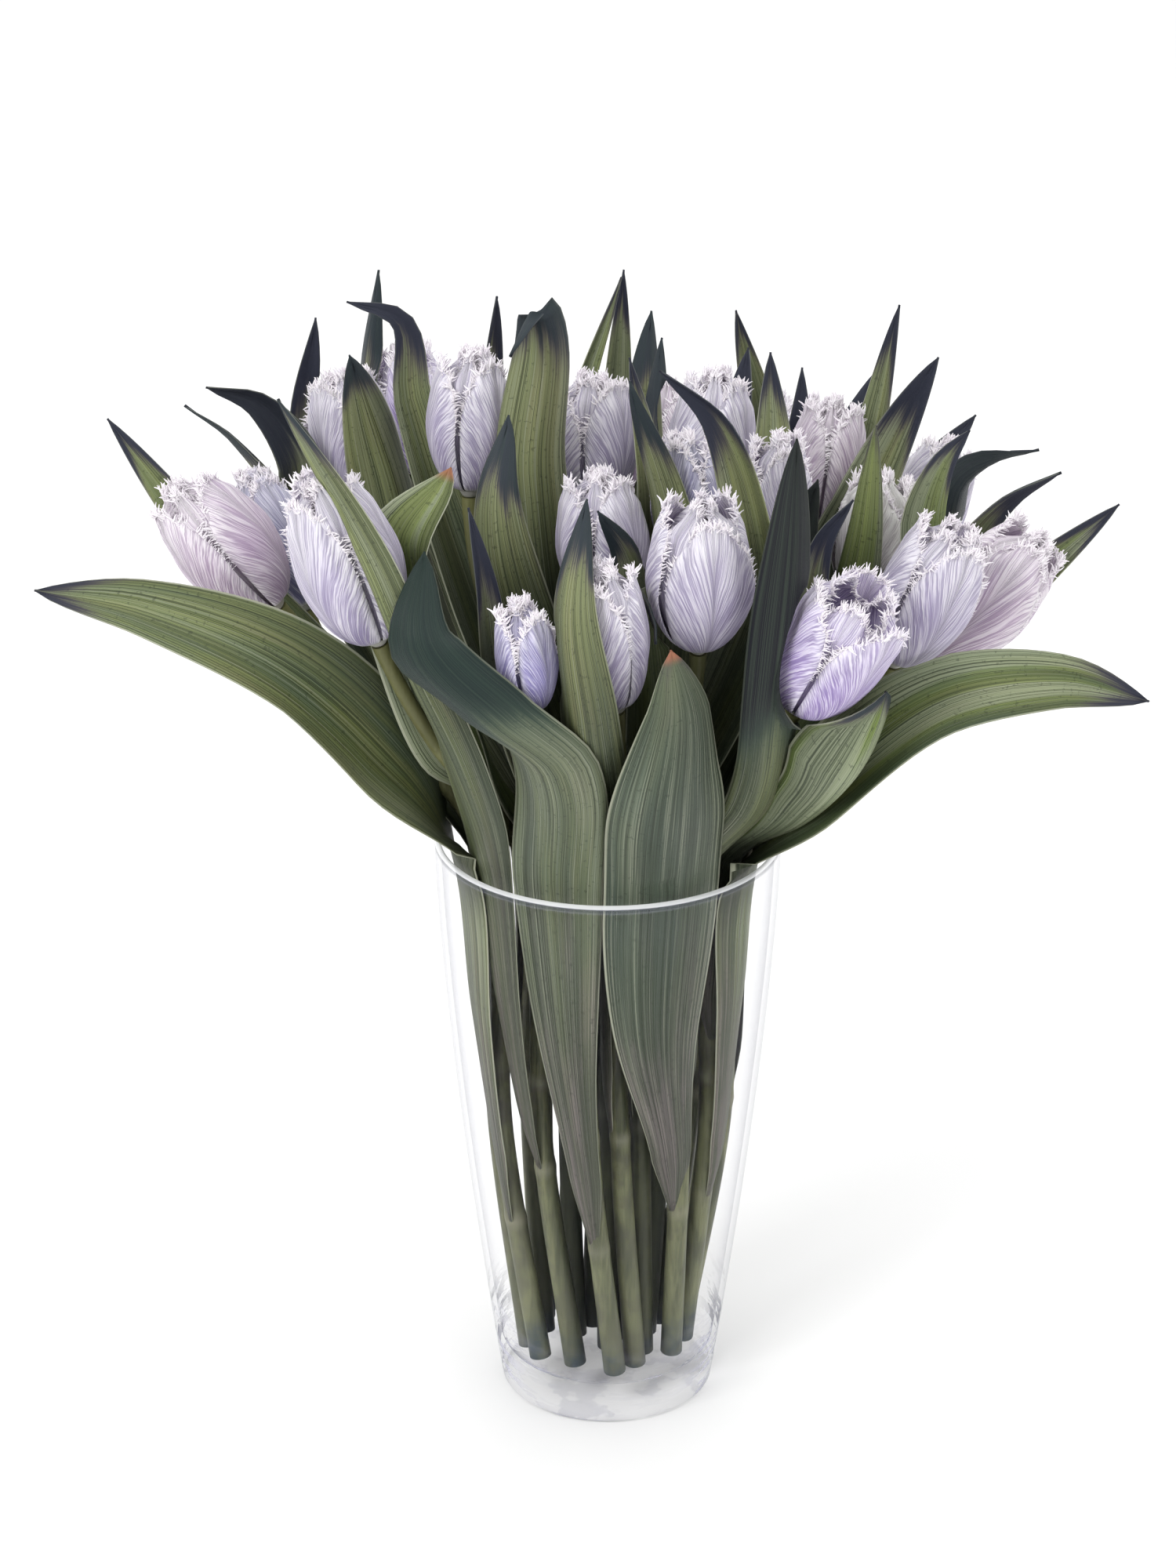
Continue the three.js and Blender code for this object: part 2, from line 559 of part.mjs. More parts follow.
function petalSurface(tulip, number) {
  const { seat, axis, length, radius } = tulip;
  const inner = number % 2 === 1;
  const side = new THREE.Vector3(1, 0, 0).projectOnPlane(axis).normalize();
  const other = axis.clone().cross(side);
  const start = (number * Math.PI) / 3 + tulip.seat.x * 0.7;
  return (t, u) => {
    const tucked = inner ? mix(PETAL.root / 2, PETAL.innerStep, Math.min(t * 3, 1)) : 0;
    const out = cupRadius(tulip, t) - tucked;
    const narrow = 1 - 0.3 * Math.max((t - 0.7) / 0.3, 0) ** 2;
    const turn = start + PETAL.swing * narrow * u;
    const rounded = 0.16 * length * u * u * t ** 3;
    const height = mix(PETAL.base, length + (inner ? 2 : 0), t) - rounded;
    return seat.clone()
      .addScaledVector(axis, height)
      .addScaledVector(side, out * Math.cos(turn))
      .addScaledVector(other, out * Math.sin(turn));
  };
}

// Petal rows get wider upwards. The last one is the fringe: its points stand out in turn.
function petalSolid(tulip, number) {
  const surface = petalSurface(tulip, number);
  const across = (count) => Array.from({ length: count }, (_, i) => -1 + (2 * i) / (count - 1));
  const rows = [
    across(2).map((u) => onSurface(surface, 0, u)),
    across(4).map((u) => onSurface(surface, 0.42, u)),
    across(number % 2 === 1 ? 6 : 7).map((u, i) => {
      const fringe = onSurface(surface, 1, u);
      const reach = i % 2 === 0 ? PETAL.tooth : -0.4 * PETAL.tooth;
      fringe.point.addScaledVector(tulip.axis, reach);
      return fringe;
    }),
  ];
  return solidBlade(rows, PETAL.thickness);
}

function receptacleSolid({ seat, axis }) {
  const side = new THREE.Vector3(1, 0, 0).projectOnPlane(axis).normalize();
  const other = axis.clone().cross(side);
  const levels = [[SEAT_GAP, 3], [5, 7.4]];
  const rings = levels.map(([height, radius]) => Array.from({ length: 6 }, (_, s) => {
    const turn = (s * Math.PI) / 3;
    return seat.clone()
      .addScaledVector(axis, height)
      .addScaledVector(side, radius * Math.cos(turn))
      .addScaledVector(other, radius * Math.sin(turn));
  }));
  return solidFromRings(rings);
}

// ---- Finishes -----------------------------------------------------------------------------

const finish = (color, roughness, extra = {}) => {
  return new THREE.MeshStandardMaterial({ color, roughness, metalness: 0, ...extra });
};
const glass = finish('#e9eef2', 0.04, { transparent: true, opacity: 0.3 });
const foliage = finish('#5c6b4d', 0.55, { side: THREE.DoubleSide });
const PETAL_TONES = {
  lilac: '#d9cfe3',
  pink: '#e0cfdc',
  slate: '#b9b6d2',
  cream: '#e9e4e2',
  violet: '#b7a2cf',
  bud: '#a79fd0',
};
const petalFinishes = Object.fromEntries(
  Object.entries(PETAL_TONES).map(([tone, color]) => [tone, finish(color, 0.6)]),
);

// ---- Assembly -----------------------------------------------------------------------------

const bouquet = new THREE.Group();

function addPiece(name, geometry, material) {
  const mesh = new THREE.Mesh(geometry, material);
  mesh.name = name;
  bouquet.add(mesh);
}

const joined = (solids) => geometryFrom(solids.reduce((whole, solid) => whole.add(solid)));

addPiece('vase', vaseGeometry(), glass);
tulips.forEach((tulip, i) => {
  const number = String(i + 1).padStart(2, '0');
  const leaves = LEAVES.filter((leaf) => leaf.tulip === i + 1).map(leafSolid);
  addPiece(`tulip_${number}_leafy_stem`, joined([stemSolid(tulip), ...leaves]), foliage);
  const petals = Array.from({ length: 6 }, (_, k) => petalSolid(tulip, k));
  const bloom = joined([receptacleSolid(tulip), ...petals]);
  addPiece(`tulip_${number}_bloom`, bloom, petalFinishes[tulip.tone]);
});

export default bouquet;
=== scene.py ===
"""A bouquet of fringed tulips, fanned out in a clear conical glass vase.

Sizes are millimetres until a mesh is made, which is in metres. +Z is up, the front is towards
-Y, and the origin is the middle of the vase's flat underside.
"""

import math
from types import SimpleNamespace

import bpy
import numpy as np
from mathutils import Euler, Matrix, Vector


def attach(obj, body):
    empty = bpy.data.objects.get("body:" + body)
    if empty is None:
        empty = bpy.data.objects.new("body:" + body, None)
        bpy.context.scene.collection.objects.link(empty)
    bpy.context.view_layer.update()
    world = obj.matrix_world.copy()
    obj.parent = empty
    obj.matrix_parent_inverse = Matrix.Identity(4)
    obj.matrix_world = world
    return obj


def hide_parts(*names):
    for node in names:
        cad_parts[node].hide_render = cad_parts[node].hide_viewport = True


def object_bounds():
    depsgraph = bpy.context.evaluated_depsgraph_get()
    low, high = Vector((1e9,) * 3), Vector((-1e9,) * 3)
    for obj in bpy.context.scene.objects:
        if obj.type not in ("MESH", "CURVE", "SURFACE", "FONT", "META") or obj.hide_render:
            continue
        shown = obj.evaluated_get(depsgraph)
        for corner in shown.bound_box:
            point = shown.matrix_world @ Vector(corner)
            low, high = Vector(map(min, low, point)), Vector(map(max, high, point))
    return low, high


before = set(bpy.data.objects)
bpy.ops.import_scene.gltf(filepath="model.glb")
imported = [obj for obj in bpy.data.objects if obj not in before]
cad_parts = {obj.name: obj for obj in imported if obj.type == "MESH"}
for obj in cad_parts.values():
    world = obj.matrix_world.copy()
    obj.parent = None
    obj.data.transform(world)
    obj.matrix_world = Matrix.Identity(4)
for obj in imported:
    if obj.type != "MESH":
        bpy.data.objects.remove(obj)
cad_box = [list(map(float, corner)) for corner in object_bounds()]

MM = 0.001

# ---- Sizes -----------------------------------------------------------------------------------

VASE = dict(height=250, base=44, rim=70, bulge=1.45, wall=2.5, floor=16, corner=7, foot=1.5)
STEM = dict(
    foot=4.7, rim=3.6, neck=2.9, neck_length=45, sides=16, rows=70, air=0.8, least_gap=0.6,
    node_ring=0.45, ring_spread=2.2, swell=0.5, swell_length=12,
)
SPREAD = dict(
    crown=360, rim=0.38, power=1.1, rim_room=7.6, rim_circle=56,
    foot=0.24, twist=0.42, foot_room=5.4, foot_circle=33.5, waist=0.62, waist_height=115,
)
SEAT_GAP = 0.3
LEAF = dict(
    thickness=0.9, sheath=25, sheath_roll=1.9, open_over=40, roll=0.9, cup=1.2,
    crown_radius=24, glass_radius=62, unroll=90, neck_offset=14, clearance=1.3,
    ripple=0.035, groove=0.45, groove_width=0.12,
)
PETAL = dict(
    thickness=0.5, root=3.6, base=3, swing=1.0, inner_step=3.0, inner_rise=2,
    swelled_at=0.62, fullness=0.56, closing=0.28, lap=0.9, ripple=1.1, pleat=0.35, midrib=0.5,
    inner_tuck=0.42, outer_tuck=0.12, shoulder=0.15,
)
# A fringe starts at a share of its petal's height. Its needles stand along both edges, and in
# rows over the top: how far below the edge a row is, how many needles it has, and their reach.
FRINGE = dict(start=0.52, edge_needles=46, low_reach=1.2, high_reach=3.4)
TOP_ROWS = ((0.0, 60, 3.7), (0.9, 44, 3.2), (2.2, 26, 2.6))
# A needle's width and bow are shares of its length, and its tip a share of its width.
NEEDLE = dict(width=0.17, bow=0.22, tip=0.2, sides=3)
# The stalks in a bloom's heart, in a bloom 20 mm in radius, at shares of a stalk's height.
STALK_SHARES = (0, 0.2, 0.4, 0.5, 0.55, 0.75, 0.92, 1.0)
STAMEN = dict(girth=(0.8, 0.7, 0.55, 0.5, 1.2, 1.3, 1.0, 0.2), height=20, out=3.0, lean=2.6)
PISTIL = dict(girth=(2.0, 2.1, 2.0, 1.9, 1.8, 1.6, 2.7, 0.8), height=22, out=0, lean=0)
STALK_FOOT = 5.0
# The heart's rings: how far above the bloom's seat each is, and its radius.
HEART = ((SEAT_GAP, 2.6), (1.4, 3.6), (3.2, 4.8), (5.5, 4.2))
BLOOM_ROOM = dict(middle=0.48, above=0.6, below=0.52, clearance=2.4)
FOOT = VASE["floor"] + SEAT_GAP


def tulip(seat, lean, length, radius, tone, open=0.0):
    """Where a bloom sits on its stem, which way it points, its size and its colour."""
    axis = np.array([*lean, math.sqrt(1 - lean[0] ** 2 - lean[1] ** 2)])
    return SimpleNamespace(
        seat=np.array(seat, float), axis=axis, length=length, radius=radius, tone=tone, open=open
    )


def leaf(tulip, node, width, tip, heading=0, rim=None, via=(), full=0.55, twist=0.0, dark=0.5,
         lime=0.0, hook=(0, 0, 0), wave=1.0, fold=0.5):
    """A leaf: the tulip it grows on, its node's height, its width, its tip and its way there.

    A leaf stands on the stem's side at heading degrees. An outer leaf leans on the glass at rim.
    It narrows to its point above full, a share of its length, and twist turns its upper blade
    about its own length. dark is how far the tip is tinted, lime how fresh a green it is, hook
    bends the tip over, wave is how much the edges ripple, and fold is how sharply the upper
    blade is creased along its midrib.
    """
    return SimpleNamespace(
        tulip=tulip, node=node, width=width, tip=tip, heading=heading, rim=rim, via=via,
        full=full, twist=twist, dark=dark, lime=lime, hook=np.array(hook, float), wave=wave,
        fold=fold,
    )


TULIPS = [
    tulip((-129, -12, 352), (-0.58, -0.15), 64, 20, "pink"),
    tulip((-121, 20, 338), (-0.38, 0.1), 58, 18, "slate"),
    tulip((-87, -62, 357), (-0.31, -0.13), 71, 21, "lilac"),
    tulip((-96, 62, 363), (-0.22, 0.14), 58, 19, "lilac"),
    tulip((-74, 105, 362), (-0.2, 0.22), 56, 16, "violet"),
    tulip((-55, 30, 383), (0.02, 0.08), 56, 18, "lilac"),
    tulip((-7, 48, 367), (0, 0.1), 56, 18.5, "lilac", open=0.1),
    tulip((-1, -28, 357), (-0.06, 0.04), 54, 18, "lilac"),
    tulip((3, -92, 342), (-0.06, -0.14), 59, 14.5, "lilac"),
    tulip((-28, -104, 346), (-0.12, -0.12), 44, 11.5, "bud"),
    tulip((34, -72, 358), (0.02, -0.15), 63, 20.5, "lilac"),
    tulip((38, 34, 374), (0.08, 0.12), 56, 18, "lilac"),
    tulip((30, -14, 368), (0, 0.02), 54, 13, "slate"),
    tulip((64, -10, 366), (0.04, 0), 54, 14, "lilac"),
    tulip((83, 46, 359), (0.12, 0.16), 54, 16, "pink"),
    tulip((102, 2, 346), (0.08, 0.02), 54, 17, "cream"),
    tulip((70.5, -80, 337), (0.4, -0.29), 60, 20, "violet", open=0.3),
    tulip((109, -46, 342), (0.36, -0.13), 62, 18.5, "lilac", open=0.1),
    tulip((126, -8, 330), (0.62, -0.12), 66, 20, "pink"),
    tulip((116, 50, 344), (0.4, 0.26), 54, 17, "lilac"),
    tulip((68, 98, 340), (0.24, 0.36), 58, 18, "lilac"),
    tulip((20, 106, 342), (0.08, 0.36), 58, 18, "pink"),
    tulip((-30, 100, 344), (-0.08, 0.32), 58, 18, "slate"),
]

LEAVES = [
    leaf(1, 80, 46, (-220, -45, 372), rim=(-62, -19),
         via=[(-93, -46, 309), (-128, -56, 346), (-178, -50, 366)], twist=-0.95, dark=0.35,
         lime=0.3, wave=1.6, fold=0.15),
    leaf(1, 150, 22, (-196, 14, 421), heading=125, twist=-0.5, dark=0.45, lime=0.6),
    leaf(2, 130, 22, (-168, 38, 418), heading=150, via=[(-124, 48, 362), (-150, 41, 403)],
         twist=0.7, dark=0.7, lime=0),
    leaf(2, 160, 24, (-160, 46, 423), heading=88,
         via=[(-120, 49, 366), (-123, 47, 393), (-139, 47, 416)], full=0.66, dark=1.2, lime=0),
    leaf(3, 110, 27, (-123, -64, 456), rim=(-46.5, -41.5),
         via=[(-58, -80, 316), (-74, -95, 362), (-91, -91, 405)], dark=0.35, lime=0.15),
    leaf(3, 150, 40, (-65, -36, 423), heading=30, full=0.75, twist=0.5, dark=0, lime=1,
         wave=1.4, hook=(5, 0, -4)),
    leaf(4, 130, 24, (-118, 80, 441), heading=150, twist=-1, dark=0.9, wave=1.6),
    leaf(4, 165, 32, (-101, 20, 445), heading=302, full=0.62, dark=0.45, lime=0.1),
    leaf(5, 120, 24, (-94, 112, 451), heading=190, twist=0.7, dark=0.9),
    leaf(5, 150, 28, (-84, 152, 418), heading=90, dark=0.5, lime=0.3),
    leaf(6, 125, 24, (-104, 57, 455), heading=140, via=[(-78, 52, 415), (-82, 58, 446)],
         twist=-0.7, dark=0.75, lime=0.2),
    leaf(6, 160, 30, (-38, -8, 457), heading=325,
         via=[(-29, 9, 400), (-25, 11, 450), (-28, 4, 470)], full=0.7, twist=-0.75, dark=0.75,
         hook=(0, 0, -3)),
    leaf(7, 130, 14, (5, 84, 457), heading=110, dark=0.3, lime=0.6),
    leaf(7, 165, 28, (22, 68, 450), heading=0, twist=-1.25, dark=0.7, hook=(-5, 0, -2)),
    leaf(8, 130, 32, (-46, -30, 438), heading=190, via=[(-41, -50, 380), (-48, -46, 414)],
         full=0.62, twist=1.1, dark=0.6, wave=1.3, hook=(8, 0, 0)),
    leaf(8, 160, 24, (-4, -54, 408), heading=300, dark=0.6, lime=0.1),
    leaf(9, 130, 29, (-8, -84, 424), heading=200, via=[(-10, -114, 350), (-14, -116, 392)],
         twist=0.7, dark=0.55, wave=0.6),
    leaf(10, 80, 38, (-68, -96, 407), rim=(-20.5, -59.5),
         via=[(-22, -106, 322), (-46, -120, 350), (-70, -120, 378)], full=0.75, dark=1.6,
         lime=-0.5, wave=0.8, fold=0.2),
    leaf(10, 130, 18, (-52, -84, 420), heading=120, via=[(-42, -84, 355), (-46, -86, 390)],
         dark=0.8),
    leaf(11, 130, 22, (12, -98, 372), heading=200, twist=1, dark=0.35, lime=0.55),
    leaf(11, 165, 27, (19, -42, 460), heading=60,
         via=[(57, -56, 366), (55, -50, 402), (42, -46, 440)], dark=0.8, lime=0.2),
    leaf(12, 130, 22, (25, 52, 442), heading=200, twist=1, dark=1, hook=(-4, 0, 0)),
    leaf(12, 165, 28, (56, 70, 432), heading=60, dark=0.9),
    leaf(13, 140, 18, (8, 6, 449), heading=140, twist=-0.7, dark=0.35, lime=0.1),
    leaf(13, 170, 22, (13, -32, 454), heading=250, dark=0.8, hook=(-5, -2, -1)),
    leaf(14, 140, 28, (63, 22, 446), heading=95, dark=0.4, lime=0.1),
    leaf(14, 170, 28, (80, -30, 412), heading=305, twist=-0.5, dark=1.5),
    leaf(15, 130, 22, (116, 70, 450), heading=30, twist=0.4, dark=0.5, lime=0.2),
    leaf(15, 160, 20, (72, 78, 424), heading=140, twist=-0.7, dark=0.9, hook=(6, 0, -3)),
    leaf(16, 130, 22, (102, -24, 432), heading=250, dark=0.22, lime=0.9),
    leaf(16, 160, 32, (132, 28, 440), heading=60, via=[(107, 30, 388)], dark=0.8,
         hook=(-3, 0, 2)),
    leaf(17, 92, 50, (23, -122, 379), rim=(23.2, -59.8),
         via=[(25, -102, 310), (27, -117, 350)], full=0.62, dark=0.15, lime=-0.9, wave=0.7,
         fold=0.2),
    leaf(17, 140, 26, (69, -90, 450), heading=295,
         via=[(58, -64, 290), (63, -100, 350), (67, -102, 403)], full=0.72, dark=2.6, wave=1.2,
         fold=0.3),
    leaf(17, 150, 20, (92, -60, 415), heading=85, via=[(74, -54, 362), (81, -58, 397)],
         dark=0.8, lime=0),
    leaf(18, 90, 43, (207, -62, 334), rim=(58, -27),
         via=[(92, -60, 304), (128, -72, 338), (172, -70, 345)], twist=0.95, dark=0.35,
         lime=0.5, wave=1.3, fold=0.15),
    leaf(18, 165, 44, (104, -96, 352), heading=300, via=[(76, -60, 284), (92, -88, 320)],
         full=0.8, dark=0.35, lime=1, wave=1.5),
    leaf(18, 150, 27, (139, -12, 426), heading=66,
         via=[(123, -21, 368), (123, -17, 392), (129, -14, 412)], full=0.62, dark=0.4,
         lime=0.7),
    leaf(19, 130, 24, (199, -2, 392), heading=45, twist=0.65, dark=0.45, lime=0.5),
    leaf(19, 160, 24, (178, 18, 398), heading=110,
         via=[(126, 10, 336), (141, 22, 365), (157, 21, 385)], dark=0.8),
    leaf(20, 130, 30, (171, 38, 400), heading=300,
         via=[(134, 34, 366), (140, 35, 387), (153, 38, 396)], full=0.62, dark=1.2),
    leaf(20, 160, 26, (150, 92, 396), heading=100, dark=0.7, lime=0.2),
    leaf(21, 120, 28, (112, 142, 398), heading=20, twist=1, dark=0.6, lime=0.2),
    leaf(21, 160, 22, (52, 112, 434), heading=125, twist=-0.2, dark=0.35, lime=0.1),
    leaf(22, 140, 38, (30, 196, 372), rim=(14, 62), via=[(20, 96, 306), (24, 150, 352)],
         dark=0.4, lime=0.3),
    leaf(22, 150, 18, (6, 116, 450), heading=160, twist=-1, dark=0.5),
    leaf(23, 110, 34, (-40, 192, 374), rim=(-22, 60), via=[(-22, 95, 300), (-30, 146, 352)],
         dark=0.5, lime=0.1),
    leaf(23, 150, 24, (-46, 118, 438), heading=150, twist=-0.3, dark=0.6, lime=0.1),
]

# ---- Curves and the fan of stems -------------------------------------------------------------


def smoothstep(x, low, high):
    """0 below low, 1 above high, and a smooth rise between."""
    f = np.clip((np.asarray(x, float) - low) / (high - low), 0, 1)
    return f * f * (3 - 2 * f)


def mix(a, b, f):
    """The value f of the way from a to b."""
    return a + (b - a) * f


def unit(v):
    """Vectors at length 1."""
    return v / np.maximum(np.linalg.norm(v, axis=-1, keepdims=True), 1e-9)


def smooth_curve(knots, points, end_slope=None):
    """A smooth curve through points at rising knots. It runs straight on past the last one."""
    knots, points = np.array(knots, float), np.array(points, float)
    last = len(knots) - 1
    before = np.maximum(np.arange(last + 1) - 1, 0)
    after = np.minimum(np.arange(last + 1) + 1, last)
    slopes = (points[after] - points[before]) / (knots[after] - knots[before])[:, None]
    if end_slope is not None:
        slopes[last] = end_slope

    def at(knot):
        knot = np.asarray(knot, float)
        i = np.clip(np.searchsorted(knots, knot, side="right") - 1, 0, last - 1)
        span = (knots[i + 1] - knots[i])[..., None]
        f = (knot - knots[i])[..., None] / span
        rest = 1 - f
        inside = (
            points[i] * (1 + 2 * f) * rest**2 + slopes[i] * f * rest**2 * span
            + points[i + 1] * f * f * (3 - 2 * f) - slopes[i + 1] * f * f * rest * span
        )
        past = points[last] + slopes[last] * (knot - knots[last])[..., None]
        return np.where((knot >= knots[last])[..., None], past, inside)

    return at


def spread_out(points, room, circle, rounds=60):
    """Pushes points of one level apart until each has its room, inside a circle."""
    for _ in range(rounds):
        for i, a in enumerate(points):
            for b in points[i + 1:]:
                apart = b - a
                distance = np.linalg.norm(apart)
                if distance < 2 * room:
                    shift = apart * (2 * room - distance) / (2 * distance)
                    a -= shift
                    b += shift
        for a in points:
            a *= min(1, circle / np.linalg.norm(a))


def vase_radius(z):
    """The outside of the glass at a height."""
    rest = np.maximum(1 - np.asarray(z, float) / VASE["height"], 0)
    return VASE["base"] + (VASE["rim"] - VASE["base"]) * (1 - rest ** VASE["bulge"])


def spread(z):
    """How far a stem has spread at a height, as a share of its place in the crown."""
    above = max(z - VASE["height"], 0) / (SPREAD["crown"] - VASE["height"])
    return SPREAD["rim"] + (1 - SPREAD["rim"]) * above ** SPREAD["power"]


def stem_radius(z):
    """The radius of a stem, which tapers up to its bloom."""
    z = np.asarray(z, float)
    low = mix(STEM["foot"], STEM["rim"], z / VASE["height"])
    high = mix(STEM["rim"], STEM["neck"], np.clip((z - VASE["height"]) / 100, 0, 1))
    return np.where(z < VASE["height"], low, high)


def lay_stems():
    """Gives each tulip its centre line, read by height, from the vase's floor to its bloom."""
    places = []
    for flower in TULIPS:
        place = flower.seat / spread(flower.seat[2])
        places.append(place * [1, 1, 0])
    cos, sin = math.cos(SPREAD["twist"]), math.sin(SPREAD["twist"])
    twist = np.array([[cos, sin, 0], [-sin, cos, 0], [0, 0, 1]])
    rims = [p * SPREAD["rim"] for p in places]
    spread_out(rims, SPREAD["rim_room"], SPREAD["rim_circle"])
    feet = [(p * SPREAD["foot"]) @ twist for p in places]
    spread_out(feet, SPREAD["foot_room"], SPREAD["foot_circle"])
    for flower, place, rim, foot in zip(TULIPS, places, rims, feet):
        slope = flower.axis / flower.axis[2]
        neck_height = flower.seat[2] - STEM["neck_length"]
        fanned = place * spread(neck_height)
        fanned[2] = neck_height
        neck = (fanned + flower.seat - slope * STEM["neck_length"]) / 2
        waist = mix(foot, rim, SPREAD["waist"])
        rim[2], foot[2], waist[2] = VASE["height"], FOOT, SPREAD["waist_height"]
        knots = [FOOT, SPREAD["waist_height"], VASE["height"], neck_height, flower.seat[2]]
        flower.line = smooth_curve(knots, [foot, waist, rim, neck, flower.seat], slope)


lay_stems()


def cell_radius(flower, z):
    """Half the way to the nearest other stem, less a little air."""
    here = flower.line(z)
    others = (other.line(z) for other in TULIPS if other is not flower)
    gaps = [np.linalg.norm(there - here, axis=-1) for there in others]
    half_way = np.min(gaps, axis=0) / 2 - STEM["air"]
    return np.maximum(half_way, stem_radius(z) + STEM["least_gap"])


# ---- Meshes ----------------------------------------------------------------------------------


def placed(name, data):
    """An object at the origin that holds a mesh, a lamp or a lens."""
    piece = bpy.data.objects.new(name, data)
    bpy.context.scene.collection.objects.link(piece)
    return piece


def put_marks(mesh, marks):
    """Writes numbers or vectors on a mesh's points, each under its name."""
    for name, values in marks.items():
        values = np.asarray(values, float)
        kind, field = ("FLOAT", "value") if values.ndim == 1 else ("FLOAT_VECTOR", "vector")
        mesh.attributes.new(name, kind, "POINT").data.foreach_set(field, values.ravel())


def mesh_object(name, points, faces, finish=None, places=None, marks=None, edges=()):
    """A smooth-shaded mesh object from millimetre points, with a place map and point marks."""
    mesh = bpy.data.meshes.new(name)
    faces = [list(map(int, face)) for face in faces]
    mesh.from_pydata((np.asarray(points) * MM).tolist(), list(edges), faces)
    mesh.shade_smooth()
    if places is not None:
        corner = np.zeros(len(mesh.loops), int)
        mesh.loops.foreach_get("vertex_index", corner)
        place_map = mesh.uv_layers.new(name="place")
        place_map.data.foreach_set("uv", np.asarray(places)[corner].ravel())
    put_marks(mesh, marks or {})
    if finish:
        mesh.materials.append(finish)
    return placed(name, mesh)


def dressed(node, slot, *pieces):
    """Lets pieces ride on the body in place of a plain solid. The slot is not used."""
    for piece in pieces:
        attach(piece, "root")
        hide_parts(node)


def grid_faces(rows, columns, start=0, flip=False):
    """The quads of a grid of points, row after row."""
    r, c = np.meshgrid(np.arange(rows - 1), np.arange(columns - 1), indexing="ij")
    a = (start + r * columns + c).ravel()
    quads = np.stack([a, a + 1, a + columns + 1, a + columns], axis=1)
    return quads[:, ::-1] if flip else quads


def ring_faces(rings, sides, capped=False):
    """The quads round a stack of rings, with a flat face over each end if it is capped."""
    faces = []
    for r in range(rings - 1):
        for a in range(sides):
            b = (a + 1) % sides
            low, high = r * sides, (r + 1) * sides
            faces.append((low + a, low + b, high + b, high + a))
    if capped:
        faces.append(tuple(range(sides))[::-1])
        faces.append(tuple((rings - 1) * sides + a for a in range(sides)))
    return faces


def blade(surface, thickness, thinning=0.65):
    """A thin closed blade over a grid of points, thinner towards its edges.

    Gives its points, its faces and, for each point, its grid place as (across, along).
    """
    rows, columns = surface.shape[:2]
    along = np.gradient(surface, axis=0)
    across = np.gradient(surface, axis=1)
    normal = unit(np.cross(across, along))
    u = np.linspace(-1, 1, columns)[None, :, None]
    v = np.linspace(0, 1, rows)[:, None, None]
    half = 0.5 * thickness * (1 - thinning * u**4) * np.ones_like(v)
    sides = (surface + normal * half, surface - normal * half)
    points = np.concatenate([side.reshape(-1, 3) for side in sides])
    count = rows * columns
    ring = list(range(columns)) + [r * columns + columns - 1 for r in range(1, rows)]
    ring += [(rows - 1) * columns + c for c in range(columns - 2, -1, -1)]
    ring += [r * columns for r in range(rows - 2, 0, -1)]
    ring = np.array(ring)
    after = np.roll(ring, -1)
    edge = np.stack([ring, ring + count, after + count, after], axis=1)
    front, back = grid_faces(rows, columns), grid_faces(rows, columns, count, flip=True)
    faces = np.concatenate([front, back, edge])
    place = np.stack(np.broadcast_arrays((u[..., 0] + 1) / 2, v[..., 0]), axis=-1).reshape(-1, 2)
    return points, faces, np.concatenate([place, place])


def joined(parts):
    """Several parts as one list of points, one of faces and one of places."""
    points, faces, places, start = [], [], [], 0
    for part_points, part_faces, part_places in parts:
        points.append(part_points)
        faces += [[i + start for i in face] for face in part_faces]
        places.append(part_places)
        start += len(part_points)
    return np.concatenate(points), faces, np.concatenate(places)


# ---- Leaves ----------------------------------------------------------------------------------


def bent_clear(points, own, rounds=3):
    """Moves a leaf's points out of the blooms and the other stems, and back inside the glass."""
    for _ in range(rounds):
        for flower in TULIPS:
            offset = points - (flower.seat + flower.axis * BLOOM_ROOM["middle"] * flower.length)
            height = offset @ flower.axis
            reach = np.where(height > 0, BLOOM_ROOM["above"], BLOOM_ROOM["below"]) * flower.length
            share = np.abs(height) / reach
            out = offset - height[:, None] * flower.axis
            widest = flower.radius * (1 + 0.5 * flower.open) + BLOOM_ROOM["clearance"]
            power = np.where(height > 0, 4, 2)
            room = widest * np.sqrt(np.maximum(1 - share**power, 0))
            missing = np.maximum(room - np.linalg.norm(out, axis=1), 0) * (share < 1)
            points = points + unit(out) * missing[:, None]
            if flower is not own:
                away = (points - flower.line(points[:, 2])) * [1, 1, 0]
                room = stem_radius(points[:, 2]) + LEAF["clearance"]
                missing = np.maximum(room - np.linalg.norm(away, axis=1), 0)
                missing = missing * (points[:, 2] < flower.seat[2])
                points = points + unit(away) * missing[:, None]
        out = np.linalg.norm(points[:, :2], axis=1)
        room = vase_radius(np.minimum(points[:, 2], VASE["height"]))
        room = room - VASE["wall"] - LEAF["clearance"]
        inward = np.where((points[:, 2] < VASE["height"] + 8) & (out > room), room / out, 1)
        points = points * np.stack([inward, inward, np.ones_like(inward)], axis=1)
    return points


def leaf_half_width(growth, t):
    """Half the width of a leaf along its length: a narrow sheath, a broad blade, a long point."""
    swell = smoothstep(t, 0.05, 0.5)
    sheath = 0.1 + 0.25 * np.minimum(t / 0.08, 1) + 0.65 * swell
    point = (1 - np.maximum((t - growth.full) / (1 - growth.full), 0) ** 2.2) ** 0.8
    return np.maximum(growth.width / 2 * sheath * point, 0.15)


